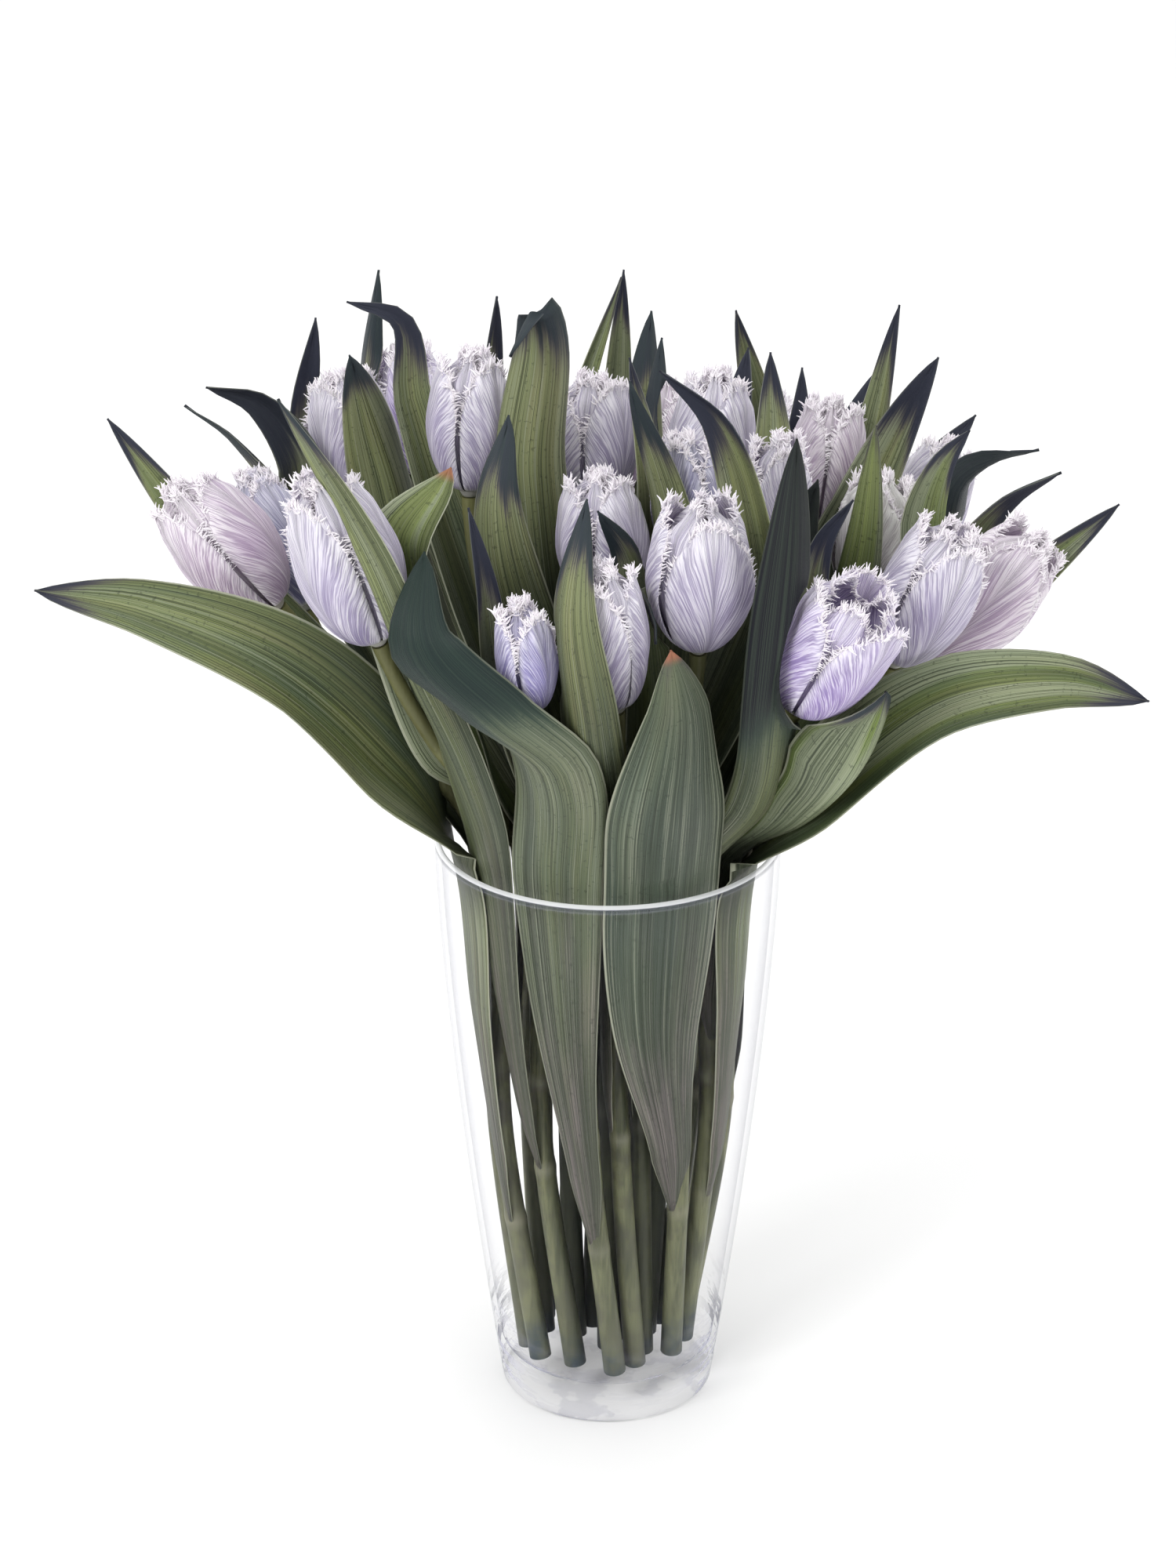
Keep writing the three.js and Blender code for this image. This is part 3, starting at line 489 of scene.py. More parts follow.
def leaf_spine(growth):
    """The middle line of a leaf, its length, and how far it stands off its stem at a height."""
    flower = TULIPS[growth.tulip - 1]
    top = VASE["height"]
    rim_stem = flower.line(top) * [1, 1, 0]
    turn = math.radians(growth.heading)
    away = np.array([math.cos(turn), math.sin(turn), 0])
    if growth.rim:
        away = np.array([*growth.rim, 0]) - rim_stem
    beside = unit(away)
    freed_at = growth.node + LEAF["sheath"]

    def offset(z):
        freed = smoothstep(z, growth.node, freed_at)
        share = smoothstep(z, freed_at, 0.8 * top) if growth.rim else 0
        room = mix(cell_radius(flower, z), np.linalg.norm(away), share)
        return mix(stem_radius(growth.node) - 0.5, room, freed)

    heights = [growth.node, freed_at, (freed_at + top) / 2, top]
    points = [flower.line(z) + beside * offset(z) for z in heights]
    if len(growth.via):
        points += [np.array(place, float) for place in growth.via]
    else:
        low = flower.seat[2] - STEM["neck_length"]
        off = min(cell_radius(flower, low), LEAF["neck_offset"])
        points.append(flower.line(low) + beside * off)
        side = flower.seat + flower.axis * BLOOM_ROOM["middle"] * flower.length
        points.append(side + beside * (flower.radius + BLOOM_ROOM["clearance"] + 1))
    points.append(np.array(growth.tip, float))
    knots = np.concatenate([[0], np.cumsum(np.linalg.norm(np.diff(points, axis=0), axis=1))])
    return smooth_curve(knots, points), knots[-1], offset, beside


def leaf_blade(growth, number, rows=56, columns=15):
    """A leaf: rolled round its stem at its sheath, then an open blade with a wavy edge."""
    flower = TULIPS[growth.tulip - 1]
    spine, total, offset, beside = leaf_spine(growth)
    facing = unit(np.array([*growth.rim, 0.0])) if growth.rim else beside
    t = np.linspace(0, 1, rows) ** 0.92
    centre = spine(t * total)
    ahead = unit(spine(t * total + 1) - spine(t * total - 1))
    sideways = np.cross([0, 0, 1], facing)
    across = unit(sideways - ahead * (ahead @ sideways)[:, None])
    turn = (growth.twist * smoothstep(t, 0.4, 0.62))[:, None]
    across = across * np.cos(turn) + np.cross(ahead, across) * np.sin(turn)
    outward = np.cross(across, ahead)
    z = centre[:, 2]
    low = np.clip((z - growth.node) / (VASE["height"] - growth.node), 0, 1)
    high = np.clip((z - VASE["height"]) / LEAF["unroll"], 0, 1)
    stem_room = offset(np.minimum(z, VASE["height"]))
    glass_room = mix(stem_radius(growth.node), LEAF["glass_radius"], low)
    room = mix(glass_room if growth.rim else stem_room, LEAF["crown_radius"], high)
    opened = smoothstep(z, growth.node, growth.node + LEAF["open_over"])
    roll = mix(mix(LEAF["sheath_roll"], LEAF["roll"], opened), LEAF["cup"], high)
    half = np.minimum(leaf_half_width(growth, t), roll * room)
    bend = np.maximum(half / room, 0.02)[:, None, None]
    u = np.linspace(-1, 1, columns)[None, :, None]
    radius = half[:, None, None] / bend
    surface = centre[:, None] + across[:, None] * radius * np.sin(bend * u)
    surface = surface - outward[:, None] * radius * (1 - np.cos(bend * u))
    surface = bent_clear(surface.reshape(-1, 3), flower).reshape(surface.shape)
    dice = np.random.default_rng(100 + number)
    phase, beat = dice.uniform(0, 2 * math.pi, 2), dice.uniform(2.2, 3.6, 2)
    free = (smoothstep(z, VASE["height"] - 20, VASE["height"] + 50) * (1 - t**6))[:, None, None]
    side = np.where(u < 0, 0, 1)
    ripple = np.sin(2 * math.pi * beat[side] * t[:, None, None] + phase[side])
    swing = outward[:, None] * ripple * np.abs(u) ** 1.6 * free * growth.wave
    surface = surface + swing * LEAF["ripple"] * growth.width
    groove = -LEAF["groove"] * np.exp(-(u / LEAF["groove_width"]) ** 2)
    groove = groove * smoothstep(t, 0.05, 0.3)[:, None, None]
    crease = (0.5 - np.abs(u)) * (growth.fold * half * smoothstep(t, 0.3, 0.8))[:, None, None]
    bent_over = smoothstep(t, growth.full + 0.08, 1)[:, None, None] ** 2
    surface = surface + outward[:, None] * (groove + crease) + growth.hook * bent_over
    return blade(surface, LEAF["thickness"])


def drawn_in(points):
    """Draws a plant's leaves in a little where they would pass the solids' outermost faces."""
    low, high = np.array(cad_box) / MM
    near, far = points.min(axis=0), points.max(axis=0)
    points = far - (far - points) * np.minimum((far - low) / (far - near), 1)
    near = np.maximum(near, low)
    return near + (points - near) * np.minimum((high - near) / (far - near), 1)


# ---- Geometry Nodes --------------------------------------------------------------------------


class Wiring:
    """A node tree in the making: one method adds any node."""

    def __init__(self, tree):
        self.tree = tree

    def node(self, kind, settings=None, inputs=()):
        """A node of a kind, with its settings made first, then its inputs set or wired."""
        node = self.tree.nodes.new(kind)
        for setting, value in (settings or {}).items():
            setattr(node, setting, value)
        pairs = inputs.items() if isinstance(inputs, dict) else enumerate(inputs)
        for socket, value in pairs:
            self.wire(value, node.inputs[socket])
        return node

    def wire(self, value, socket):
        """Sets a socket to a constant, or wires it to a value or a node's output."""
        source = value.socket if isinstance(value, Value) else value
        if isinstance(source, bpy.types.NodeSocket):
            self.tree.links.new(source, socket)
        else:
            socket.default_value = source


def growing_tree(name, sizes, shape, finish):
    """Geometry Nodes with named sizes, which realize the shape made of them and finish it.

    Gives the tree, and the identifier of each size's socket by its name.
    """
    tree = bpy.data.node_groups.new(name, "GeometryNodeTree")
    names = {}
    for size, kind in {"Geometry": "Geometry", **sizes}.items():
        socket = tree.interface.new_socket(size, in_out="INPUT", socket_type=f"NodeSocket{kind}")
        names[size] = socket.identifier
    tree.interface.new_socket("Geometry", in_out="OUTPUT", socket_type="NodeSocketGeometry")
    wiring = Wiring(tree)
    made = shape(wiring, wiring.node("NodeGroupInput").outputs)
    whole = wiring.node("GeometryNodeRealizeInstances", None, [made])
    coat = {"Geometry": whole.outputs[0], "Material": finish}
    finished = wiring.node("GeometryNodeSetMaterial", None, coat)
    wiring.node("NodeGroupOutput", None, [finished.outputs[0]])
    return tree, names


def marked(wiring, name, kind="FLOAT"):
    """A mark on the mesh's points, read by its name."""
    mark = wiring.node("GeometryNodeInputNamedAttribute", {"data_type": kind}, {"Name": name})
    return mark.outputs["Attribute"]


def swept(wiring, curve, radius, sides, scale):
    """A closed bar with a round section, swept along a curve and scaled along it."""
    inputs = {"Radius": radius, "Resolution": sides}
    section = wiring.node("GeometryNodeCurvePrimitiveCircle", None, inputs)
    inputs = {"Curve": curve, "Profile Curve": section.outputs["Curve"], "Fill Caps": True}
    return wiring.node("GeometryNodeCurveToMesh", None, {**inputs, "Scale": scale}).outputs[0]


def swept_stem(wiring, start):
    """A round section along a stem's centre line, as thick as the line's marks say."""
    line = wiring.node("GeometryNodeMeshToCurve", None, [start["Geometry"]]).outputs[0]
    return swept(wiring, line, 1.0, start["Sides"], marked(wiring, "thick"))


def standing_needles(wiring, start):
    """A thin bowed needle on each root, turned along its reach, spun by chance, as long as it."""
    bow = wiring.node("ShaderNodeCombineXYZ", None, {"X": start["Needle bow"], "Z": 0.5})
    inputs = {"Resolution": 2, "Start": (0, 0, 0), "Middle": bow.outputs[0], "End": (0, 0, 1)}
    line = wiring.node("GeometryNodeCurveQuadraticBezier", None, inputs).outputs[0]
    share = wiring.node("GeometryNodeSplineParameter").outputs["Factor"]
    inputs = {"Value": share, "To Min": 1.0, "To Max": NEEDLE["tip"]}
    taper = wiring.node("ShaderNodeMapRange", None, inputs).outputs[0]
    needle = swept(wiring, line, start["Needle width"], NEEDLE["sides"], taper)
    reach = marked(wiring, "reach", "FLOAT_VECTOR")
    aim = wiring.node("FunctionNodeAlignRotationToVector", {"axis": "Z"}, {"Vector": reach})
    inputs = {3: 2 * math.pi, "Seed": start["Seed"]}
    chance = wiring.node("FunctionNodeRandomValue", {"data_type": "FLOAT"}, inputs).outputs[1]
    inputs = {"Axis": (0, 0, 1), "Angle": chance}
    spin = wiring.node("FunctionNodeAxisAngleToRotation", None, inputs).outputs[0]
    inputs = {"Rotation": aim.outputs[0], "Rotate By": spin}
    turn = wiring.node("FunctionNodeRotateRotation", {"rotation_space": "LOCAL"}, inputs)
    far = wiring.node("ShaderNodeVectorMath", {"operation": "LENGTH"}, [reach]).outputs["Value"]
    length = wiring.node("ShaderNodeCombineXYZ", None, [far, far, far]).outputs[0]
    roots = wiring.node("GeometryNodeMeshToPoints", None, [start["Geometry"]]).outputs[0]
    inputs = {"Points": roots, "Instance": needle, "Rotation": turn.outputs[0], "Scale": length}
    return wiring.node("GeometryNodeInstanceOnPoints", None, inputs).outputs[0]


def grown(piece, tree_and_names, sizes):
    """Runs a tree on a piece and gives the plain mesh object that comes out."""
    tree, names = tree_and_names
    modifier = piece.modifiers.new("grow", "NODES")
    modifier.node_group = tree
    for size, value in sizes.items():
        modifier[names[size]] = value
    bpy.context.view_layer.update()
    ready = piece.evaluated_get(bpy.context.evaluated_depsgraph_get())
    mesh = bpy.data.meshes.new_from_object(ready)
    name = piece.name
    bpy.data.objects.remove(piece)
    mesh.shade_smooth()
    return placed(name, mesh)


# ---- Finishes --------------------------------------------------------------------------------


class Value:
    """A number that varies over a surface. Arithmetic on it adds Math nodes."""

    def __init__(self, paint, socket):
        self.paint = paint
        self.socket = socket

    def _math(self, operation, *numbers):
        return self.paint.value("ShaderNodeMath", {"operation": operation}, numbers)

    def __add__(self, other):
        return self._math("ADD", self, other)

    def __radd__(self, other):
        return self._math("ADD", other, self)

    def __sub__(self, other):
        return self._math("SUBTRACT", self, other)

    def __rsub__(self, other):
        return self._math("SUBTRACT", other, self)

    def __mul__(self, other):
        return self._math("MULTIPLY", self, other)

    def __rmul__(self, other):
        return self._math("MULTIPLY", other, self)

    def __truediv__(self, other):
        return self._math("DIVIDE", self, other)

    def __pow__(self, other):
        return self._math("POWER", self, other)

    def size(self):
        """The number without its sign."""
        return self._math("ABSOLUTE", self)

    def between(self, low, high):
        """0 at low, 1 at high, and a smooth rise between."""
        settings = {"interpolation_type": "SMOOTHSTEP"}
        return self.paint.value("ShaderNodeMapRange", settings, [self, low, high, 0.0, 1.0])


class Paint(Wiring):
    """A material in the making, with shorthand for the nodes that the finishes use."""

    def __init__(self, name, **constants):
        self.material = bpy.data.materials.new(name)
        self.material.use_nodes = True
        super().__init__(self.material.node_tree)
        self.shader = self.tree.nodes["Principled BSDF"]
        for socket, value in constants.items():
            self.shader.inputs[socket.replace("_", " ")].default_value = value

    def value(self, kind, settings=None, inputs=(), output=0):
        """The number that a node gives."""
        return Value(self, self.node(kind, settings, inputs).outputs[output])

    def place(self):
        """How far across (-1 to 1) and along (0 to 1) a blade this is."""
        across, along, _ = self.parts(self.node("ShaderNodeUVMap", {"uv_map": "place"}).outputs[0])
        return across * 2 - 1, along

    def mark(self, name):
        """A number that the mesh carries on its points."""
        return self.value("ShaderNodeAttribute", {"attribute_name": name}, output=2)

    def spot(self):
        """The place in space, read on the object."""
        return self.node("ShaderNodeTexCoord").outputs["Object"]

    def grain(self, at, scale=1.0, detail=3.0, roughness=0.55):
        """Soft noise at a place, from about 0.3 to 0.7."""
        inputs = {"Vector": at, "Scale": scale, "Detail": detail, "Roughness": roughness}
        return self.value("ShaderNodeTexNoise", None, inputs)

    def parts(self, at):
        """The three numbers of a place."""
        node = self.node("ShaderNodeSeparateXYZ", None, [at])
        return [Value(self, socket) for socket in node.outputs]

    def painted_crowd_shade(self):
        """Painted shade: 1 deep among the stems, 0 on the outside of the fan and against the glass.
        """
        x, y, z = self.parts(self.spot())
        reach = 0.036 + z * 0.085 + (z - 0.25).between(0.0, 0.12) * 0.09
        inside = 1.0 - ((x * x + y * y) ** 0.5 / reach).between(0.50, 0.96)
        return inside * (1.0 - z.between(0.33, 0.41))

    def stretched(self, x, y, z=0.0):
        """A place made of numbers, for noise that is drawn out one way."""
        return self.node("ShaderNodeCombineXYZ", None, [x, y, z]).outputs[0]

    def blend(self, a, b, share):
        """A colour share of the way from a to b."""
        inputs = {0: share, 6: a, 7: b}
        node = self.node("ShaderNodeMix", {"data_type": "RGBA", "clamp_factor": True}, inputs)
        return node.outputs[2]

    def coats(self, colour, *coats):
        """A colour with coats laid over it, each a colour and the share of it that shows."""
        for coat, share in coats:
            colour = self.blend(colour, coat, share)
        return colour

    def finish(self, colour, roughness, relief=None, strength=0.2, depth=0.0004):
        """Wires the colour, the roughness and the relief, and gives the material."""
        self.wire(colour, self.shader.inputs["Base Color"])
        self.wire(roughness, self.shader.inputs["Roughness"])
        if relief is not None:
            settings = {"Strength": strength, "Distance": depth, "Height": relief}
            bump = self.node("ShaderNodeBump", None, settings)
            self.wire(bump.outputs[0], self.shader.inputs["Normal"])
        return self.material


def rgb(red, green, blue):
    """A colour, with no see-through."""
    return (red, green, blue, 1.0)


def leaf_finish():
    """Olive leaf: fine lengthwise veins, a waxy outside, a pale edge and a navy or purple tip."""
    paint = Paint("waxy tulip leaf", Specular_IOR_Level=0.25)
    across, along = paint.place()
    seed, inner, dark, lime = (paint.mark(name) for name in ("seed", "inner", "dark", "lime"))
    height = paint.parts(paint.spot())[2]

    def drawn_out(over, up, start=seed, detail=3.0, roughness=0.6):
        at = paint.stretched(across * over, along * up, start)
        return paint.grain(at, 1.0, detail, roughness)

    veins = drawn_out(24, 1.3, detail=4.0, roughness=0.65)
    ribs = drawn_out(62, 2.0)
    clouds = drawn_out(1.6, 4.2)
    bands = drawn_out(5.5, 0.9, seed + 9.0)
    painted_light_halves = drawn_out(1.3, 0.9, seed + 21.0, detail=1.0, roughness=0.5)
    speckle = paint.grain(paint.spot(), 520.0, 2.0, 0.6)
    lines = veins * 0.5 + ribs * 0.5
    # The living green: moss between paler veins, waxy outside, fresher where lime is high, with
    # painted light on the leaves up in the crown.
    painted_crown_light = height.between(0.33, 0.42) * (0.10 + 0.5 * veins)
    # Painted light on one half of each blade and painted shade on the other, as if lit from one
    # side.
    painted_lit_half = painted_light_halves.between(0.54, 0.60) * (0.2 + 0.16 * (1.0 + lime * 2.0))
    painted_shaded_half = (1.0 - painted_light_halves).between(0.50, 0.60) * (0.6 - 0.4 * height.between(0.30, 0.40))
    green = paint.coats(
        rgb(0.060, 0.078, 0.030),
        (rgb(0.215, 0.240, 0.100), veins.between(0.33, 0.66)),
        (rgb(0.290, 0.300, 0.160), bands.between(0.45, 0.70) * 0.55),
        (rgb(0.190, 0.150, 0.095), clouds.between(0.50, 0.72) * 0.4),
        (rgb(0.095, 0.128, 0.104), (1.0 - clouds).between(0.42, 0.62) * (0.7 - 0.5 * inner)),
        (rgb(0.062, 0.092, 0.080), (0.0 - lime) * (0.45 + 0.5 * veins)),
        (rgb(0.155, 0.235, 0.030), lime * (0.35 + 0.65 * veins.between(0.3, 0.7))),
        (rgb(0.420, 0.460, 0.210), painted_crown_light),
        (rgb(0.330, 0.365, 0.260), painted_lit_half),
        (rgb(0.026, 0.040, 0.030), painted_shaded_half),
    )
    # Painted shade on one side of its fold, the mauve sheath, dark and pale lines, a painted shadow
    # band at the rim, and painted shade deep in the crowd.
    lean = (paint.grain(paint.stretched(seed * 7.0, 3.0), 1.0, 0.0) - 0.5) * 7.0
    mauve = paint.blend(
        rgb(0.060, 0.062, 0.046), rgb(0.150, 0.125, 0.125), clouds.between(0.42, 0.64)
    )
    sheath = 0.85 - 0.85 * (along + (bands - 0.5) * 0.3).between(0.10, 0.50)
    # A painted shadow band on the leaves round the height of the glass's rim.
    painted_rim_shadow = height.between(0.215, 0.245) * (1.0 - height.between(0.252, 0.285))
    shade = paint.painted_crowd_shade() * 0.72 + painted_rim_shadow * lime.between(0.1, 0.3) * 0.7
    shaded = paint.coats(
        green,
        (rgb(0.020, 0.030, 0.018), (across * lean).between(0.02, 0.60) * 0.5),
        (mauve, sheath),
        (rgb(0.022, 0.030, 0.018), lines.between(0.50, 0.57) * 0.78),
        (rgb(0.390, 0.410, 0.300), (1.0 - lines).between(0.52, 0.62) * 0.42),
        (rgb(0.020, 0.026, 0.018), speckle.between(0.60, 0.70) * 0.4),
        (rgb(0.006, 0.009, 0.005), shade),
    )
    # The tip: plum where the dark begins, then navy, or near black on the darkest leaves.
    darkest = dark.between(0.9, 1.6)
    frayed = along + across.size() * 0.05 + (clouds - 0.5) * 0.14 + (veins - 0.5) * 0.08
    reach = (frayed - (1.0 - 0.20 * dark)) / (0.04 + 0.12 * dark)
    tip = reach.between(0.0, 1.0) * (0.2 + 0.8 * dark.between(0.0, 0.6))
    plum = paint.blend(rgb(0.070, 0.054, 0.072), rgb(0.022, 0.046, 0.036), darkest)
    dusk = paint.blend(rgb(0.024, 0.028, 0.046), rgb(0.022, 0.040, 0.036), inner * bands)
    pitch = paint.coats(
        rgb(0.004, 0.004, 0.009),
        (rgb(0.026, 0.036, 0.028), ribs.between(0.42, 0.62)),
        (rgb(0.010, 0.034, 0.026), (0.0 - lime) * (0.4 + bands)),
    )
    pale_edge = across.size().between(0.955, 0.975) * (0.75 - 0.55 * tip)
    rust = along.between(0.976, 0.994) * (1.0 - dark.between(0.16, 0.20))
    colour = paint.coats(
        shaded,
        (plum, tip.between(0.0, 0.6) * 0.85),
        (paint.blend(dusk, pitch, darkest), tip.between(0.25, 0.75) * 0.97),
        (rgb(0.430, 0.445, 0.340), pale_edge * bands.between(0.30, 0.55)),
        (rgb(0.400, 0.150, 0.085), rust * 0.8),
    )
    return paint.finish(colour, 0.36 + 0.24 * clouds, ribs * 0.8 + veins * 0.5, 0.55, 0.0006)


def stem_finish():
    """Olive stem: yellower below its bloom, blue-black round its cut end, with fine ribs, and
    painted shade deep in the bunch.
    """
    paint = Paint("olive tulip stem", Specular_IOR_Level=0.25)
    rise, seed = paint.mark("rise"), paint.mark("seed")
    x, y, z = paint.parts(paint.spot())
    grain = paint.grain(paint.stretched(x * 160, y * 160, z * 14 + seed), 1.0, 4.0, 0.65)
    blotch = paint.grain(paint.spot(), 42.0, 4.0, 0.65)
    streak = paint.grain(paint.stretched(x * 700, y * 700, z * 30), 1.0, 2.0, 0.5)
    bruise = (1.0 - (rise + (blotch - 0.5) * 0.22).between(-0.02, 0.055)) * 0.94
    colour = paint.coats(
        rgb(0.034, 0.040, 0.018),
        (rgb(0.200, 0.208, 0.105), grain.between(0.34, 0.68)),
        (rgb(0.050, 0.044, 0.040), blotch.between(0.46, 0.64) * 0.6),
        (rgb(0.240, 0.240, 0.090), rise.between(0.6, 1.0) * 0.7),
        (rgb(0.190, 0.200, 0.135), 0.45 - 0.45 * rise.between(0.05, 0.42)),
        (rgb(0.040, 0.058, 0.080), bruise),
        (rgb(0.290, 0.280, 0.210), paint.mark("ring") * 0.45),
        # Painted shade deep among the stems.
        (rgb(0.006, 0.009, 0.006), paint.painted_crowd_shade() * 0.8),
    )
    return paint.finish(colour, 0.34 + 0.2 * grain, streak + grain, 0.45, 0.0004)


# How far red, green and blue light go under a petal's skin, against each other.
SOFT_GLOW = (0.9, 0.75, 1.0)
PETAL_COLOURS = {
    "lilac": (rgb(0.180, 0.145, 0.290), rgb(0.520, 0.470, 0.630), rgb(0.890, 0.855, 0.930)),
    "pink": (rgb(0.250, 0.160, 0.290), rgb(0.600, 0.480, 0.620), rgb(0.910, 0.850, 0.910)),
    "slate": (rgb(0.100, 0.095, 0.230), rgb(0.340, 0.325, 0.520), rgb(0.760, 0.740, 0.860)),
    "cream": (rgb(0.400, 0.350, 0.380), rgb(0.780, 0.745, 0.750), rgb(0.940, 0.925, 0.910)),
    "violet": (rgb(0.140, 0.085, 0.290), rgb(0.470, 0.375, 0.660), rgb(0.870, 0.820, 0.940)),
    "bud": (rgb(0.120, 0.100, 0.290), rgb(0.370, 0.335, 0.620), rgb(0.780, 0.750, 0.890)),
}


def petal_finish(tone):
    """Silky petal: deep at its foot and its middle, near white at its fringed edge, with painted
    shade partly darkening the lower bloom.
    """
    deep, middle, pale = PETAL_COLOURS[tone]
    paint = Paint(
        f"{tone} petal", Sheen_Weight=0.15, Sheen_Roughness=0.4, Specular_IOR_Level=0.3,
        Subsurface_Weight=0.2, Subsurface_Scale=0.003, Subsurface_Radius=SOFT_GLOW,
    )
    across, along = paint.place()
    seed = paint.mark("seed")
    # The silk lines rise from the midrib and sweep out to the edges, as on a feather.
    wander = paint.grain(paint.stretched(across * 1.5, along * 2.0, seed)) - 0.5
    barbs = along + wander * 0.12 - across.size() ** 0.55 * 0.95
    silk = paint.grain(paint.stretched(barbs * 13, across * 1.1, seed), 1.0, 4.0, 0.62)
    hairs = paint.grain(paint.stretched(barbs * 46, across * 2.4, seed), 1.0, 2.0, 0.6)
    cloud = paint.grain(paint.spot(), 60.0, 2.0, 0.5)
    # Deep at the foot rising to pale at the top: partly the petal's own colour, partly painted
    # shade on the lower bloom.
    rise = along + (silk - 0.5) * 0.6 + (cloud - 0.5) * 0.3
    colour = paint.coats(
        deep,
        (middle, rise.between(-0.15, 0.38)),
        (pale, rise.between(0.45, 1.12)),
        (pale, (across.size() + (silk - 0.5) * 0.35).between(0.68, 1.04) * 0.7),
        (deep, (0.55 - hairs).between(0.0, 0.15) * 0.56),
        (pale, (hairs - 0.42).between(0.08, 0.20) * 0.55),
        (rgb(0.36, 0.37, 0.26), 0.7 - 0.7 * along.between(0.0, 0.08)),
    )
    return paint.finish(colour, 0.48 + 0.2 * hairs, hairs * 0.9 + silk * 0.6, 0.85, 0.0009)


def fringe_finish(tone):
    """The needles of a fringe: nearly white, with a breath of the petal's colour."""
    pale = PETAL_COLOURS[tone][2]
    paint = Paint(
        f"{tone} fringe", Specular_IOR_Level=0.3, Subsurface_Weight=0.2,
        Subsurface_Scale=0.003, Subsurface_Radius=SOFT_GLOW,
    )
    frost = paint.grain(paint.spot(), 160.0, 2.0, 0.5)
    colour = paint.blend(pale, rgb(0.98, 0.93, 0.98), frost.between(0.25, 0.5))
    return paint.finish(colour, 0.42 + 0.15 * frost)


def stamen_finish():
    """Pale stalks with dark dusty anthers, and a green pistil with a straw-coloured top."""
    paint = Paint("stamens and pistil", Specular_IOR_Level=0.25)
    across, along = paint.place()
    pollen = paint.grain(paint.spot(), 1400.0, 2.0, 0.6)
    anther = along.between(0.45, 0.52)
    stamen = paint.coats(
        rgb(0.62, 0.60, 0.52),
        (rgb(0.055, 0.030, 0.060), anther),
        (rgb(0.160, 0.110, 0.150), pollen.between(0.50, 0.62) * anther),
    )
    pistil = paint.blend(
        rgb(0.290, 0.360, 0.130), rgb(0.620, 0.580, 0.330), along.between(0.80, 0.90)
    )
    colour = paint.blend(stamen, pistil, across.between(-0.5, 0.5))
    return paint.finish(colour, 0.6 + 0.3 * pollen, pollen, 0.4)


def glass_finish():
    """Clear glass: nearly unseen face on, grey where it turns away, with a painted highlight along
    its rim and a painted dark line under it, a painted sheen low on its sides and painted
    refraction streaks in its foot.
    """
    paint = Paint("clear glass", Specular_IOR_Level=0.3)
    turning = paint.value("ShaderNodeLayerWeight", None, {"Blend": 0.35}, output=1)
    x, y, height = paint.parts(paint.spot())
    # A painted highlight along the rim, and a painted dark line of reflection just under it.
    rim = height.between(0.2484, 0.2490)
    under = height.between(0.2462, 0.2478) * (1.0 - rim)
    foot = 1.0 - height.between(0.018, 0.050)
    smudge = paint.grain(paint.spot(), 14.0, 3.0, 0.5)
    # Painted refraction streaks in the thick foot, stronger where the glass turns away.
    refraction_ripples = paint.stretched(x * 45 + height * 60, height * 190, y * 45)
    refraction_ripples = paint.grain(refraction_ripples, 1.0, 3.0, 0.6)
    painted_foot_refraction = refraction_ripples.between(0.53, 0.57) * (0.05 + 0.9 * turning.between(0.3, 0.8))
    # Real smudges on the glass, with the painted refraction streaks in the foot.
    smudge_and_refraction = 0.003 + 0.012 * smudge.between(0.45, 0.75) + foot * painted_foot_refraction
    # A painted sheen low on the glass's sides, where it turns away.
    painted_side_sheen = turning.between(0.35, 0.75) * 0.05 * height.between(0.02, 0.16)
    solid = smudge_and_refraction + painted_side_sheen + turning ** 5.0 * 0.8 + rim * 0.62 + under * 0.42
    paint.wire(solid, paint.shader.inputs["Alpha"])
    # Grey where the glass turns away, with the painted rim highlight and the painted dark line
    # under it.
    colour = paint.coats(
        rgb(0.50, 0.50, 0.62),
        (rgb(0.14, 0.15, 0.22), turning.between(0.55, 0.92)),
        (rgb(0.97, 0.98, 1.0), rim),
        (rgb(0.05, 0.06, 0.08), under),
    )
    return paint.finish(colour, 0.03 + 0.05 * smudge)


def floor_finish():
    """A plain pale floor."""
    paint = Paint("pale studio floor", Specular_IOR_Level=0.1)
    grain = paint.grain(paint.spot(), 3.0, 2.0, 0.5)
    return paint.finish(paint.blend(rgb(0.92, 0.92, 0.92), rgb(0.94, 0.94, 0.94), grain), 0.8)


LEAF_FINISH = leaf_finish()
STEM_FINISH = stem_finish()
GLASS_FINISH = glass_finish()
STAMEN_FINISH = stamen_finish()

# ---- The vase --------------------------------------------------------------------------------


def turned(profile, sides=112):
    """A closed shape turned on the vase's axis, from a profile that starts and ends on it."""
    radius, height = np.array(profile[1:-1]).T[..., None]
    angle = np.linspace(0, 2 * math.pi, sides, endpoint=False)
    rings = (radius * np.cos(angle), radius * np.sin(angle), height + 0 * angle)
    ends = [[0, 0, profile[0][1]], [0, 0, profile[-1][1]]]
    points = np.concatenate([np.stack(rings, axis=-1).reshape(-1, 3), ends])
    faces = ring_faces(len(radius), sides)
    last, bottom, top = (len(radius) - 1) * sides, len(points) - 2, len(points) - 1
    for a in range(sides):
        b = (a + 1) % sides
        faces += [(bottom, b, a), (top, last + a, last + b)]
    return points, faces


def arc(angle, steps, closed=False):
    """The cosines and sines at even steps up to an angle, with its end if it is closed."""
    turns = (k / steps * angle for k in range(1, steps + closed))
    return [(math.cos(turn), math.sin(turn)) for turn in turns]


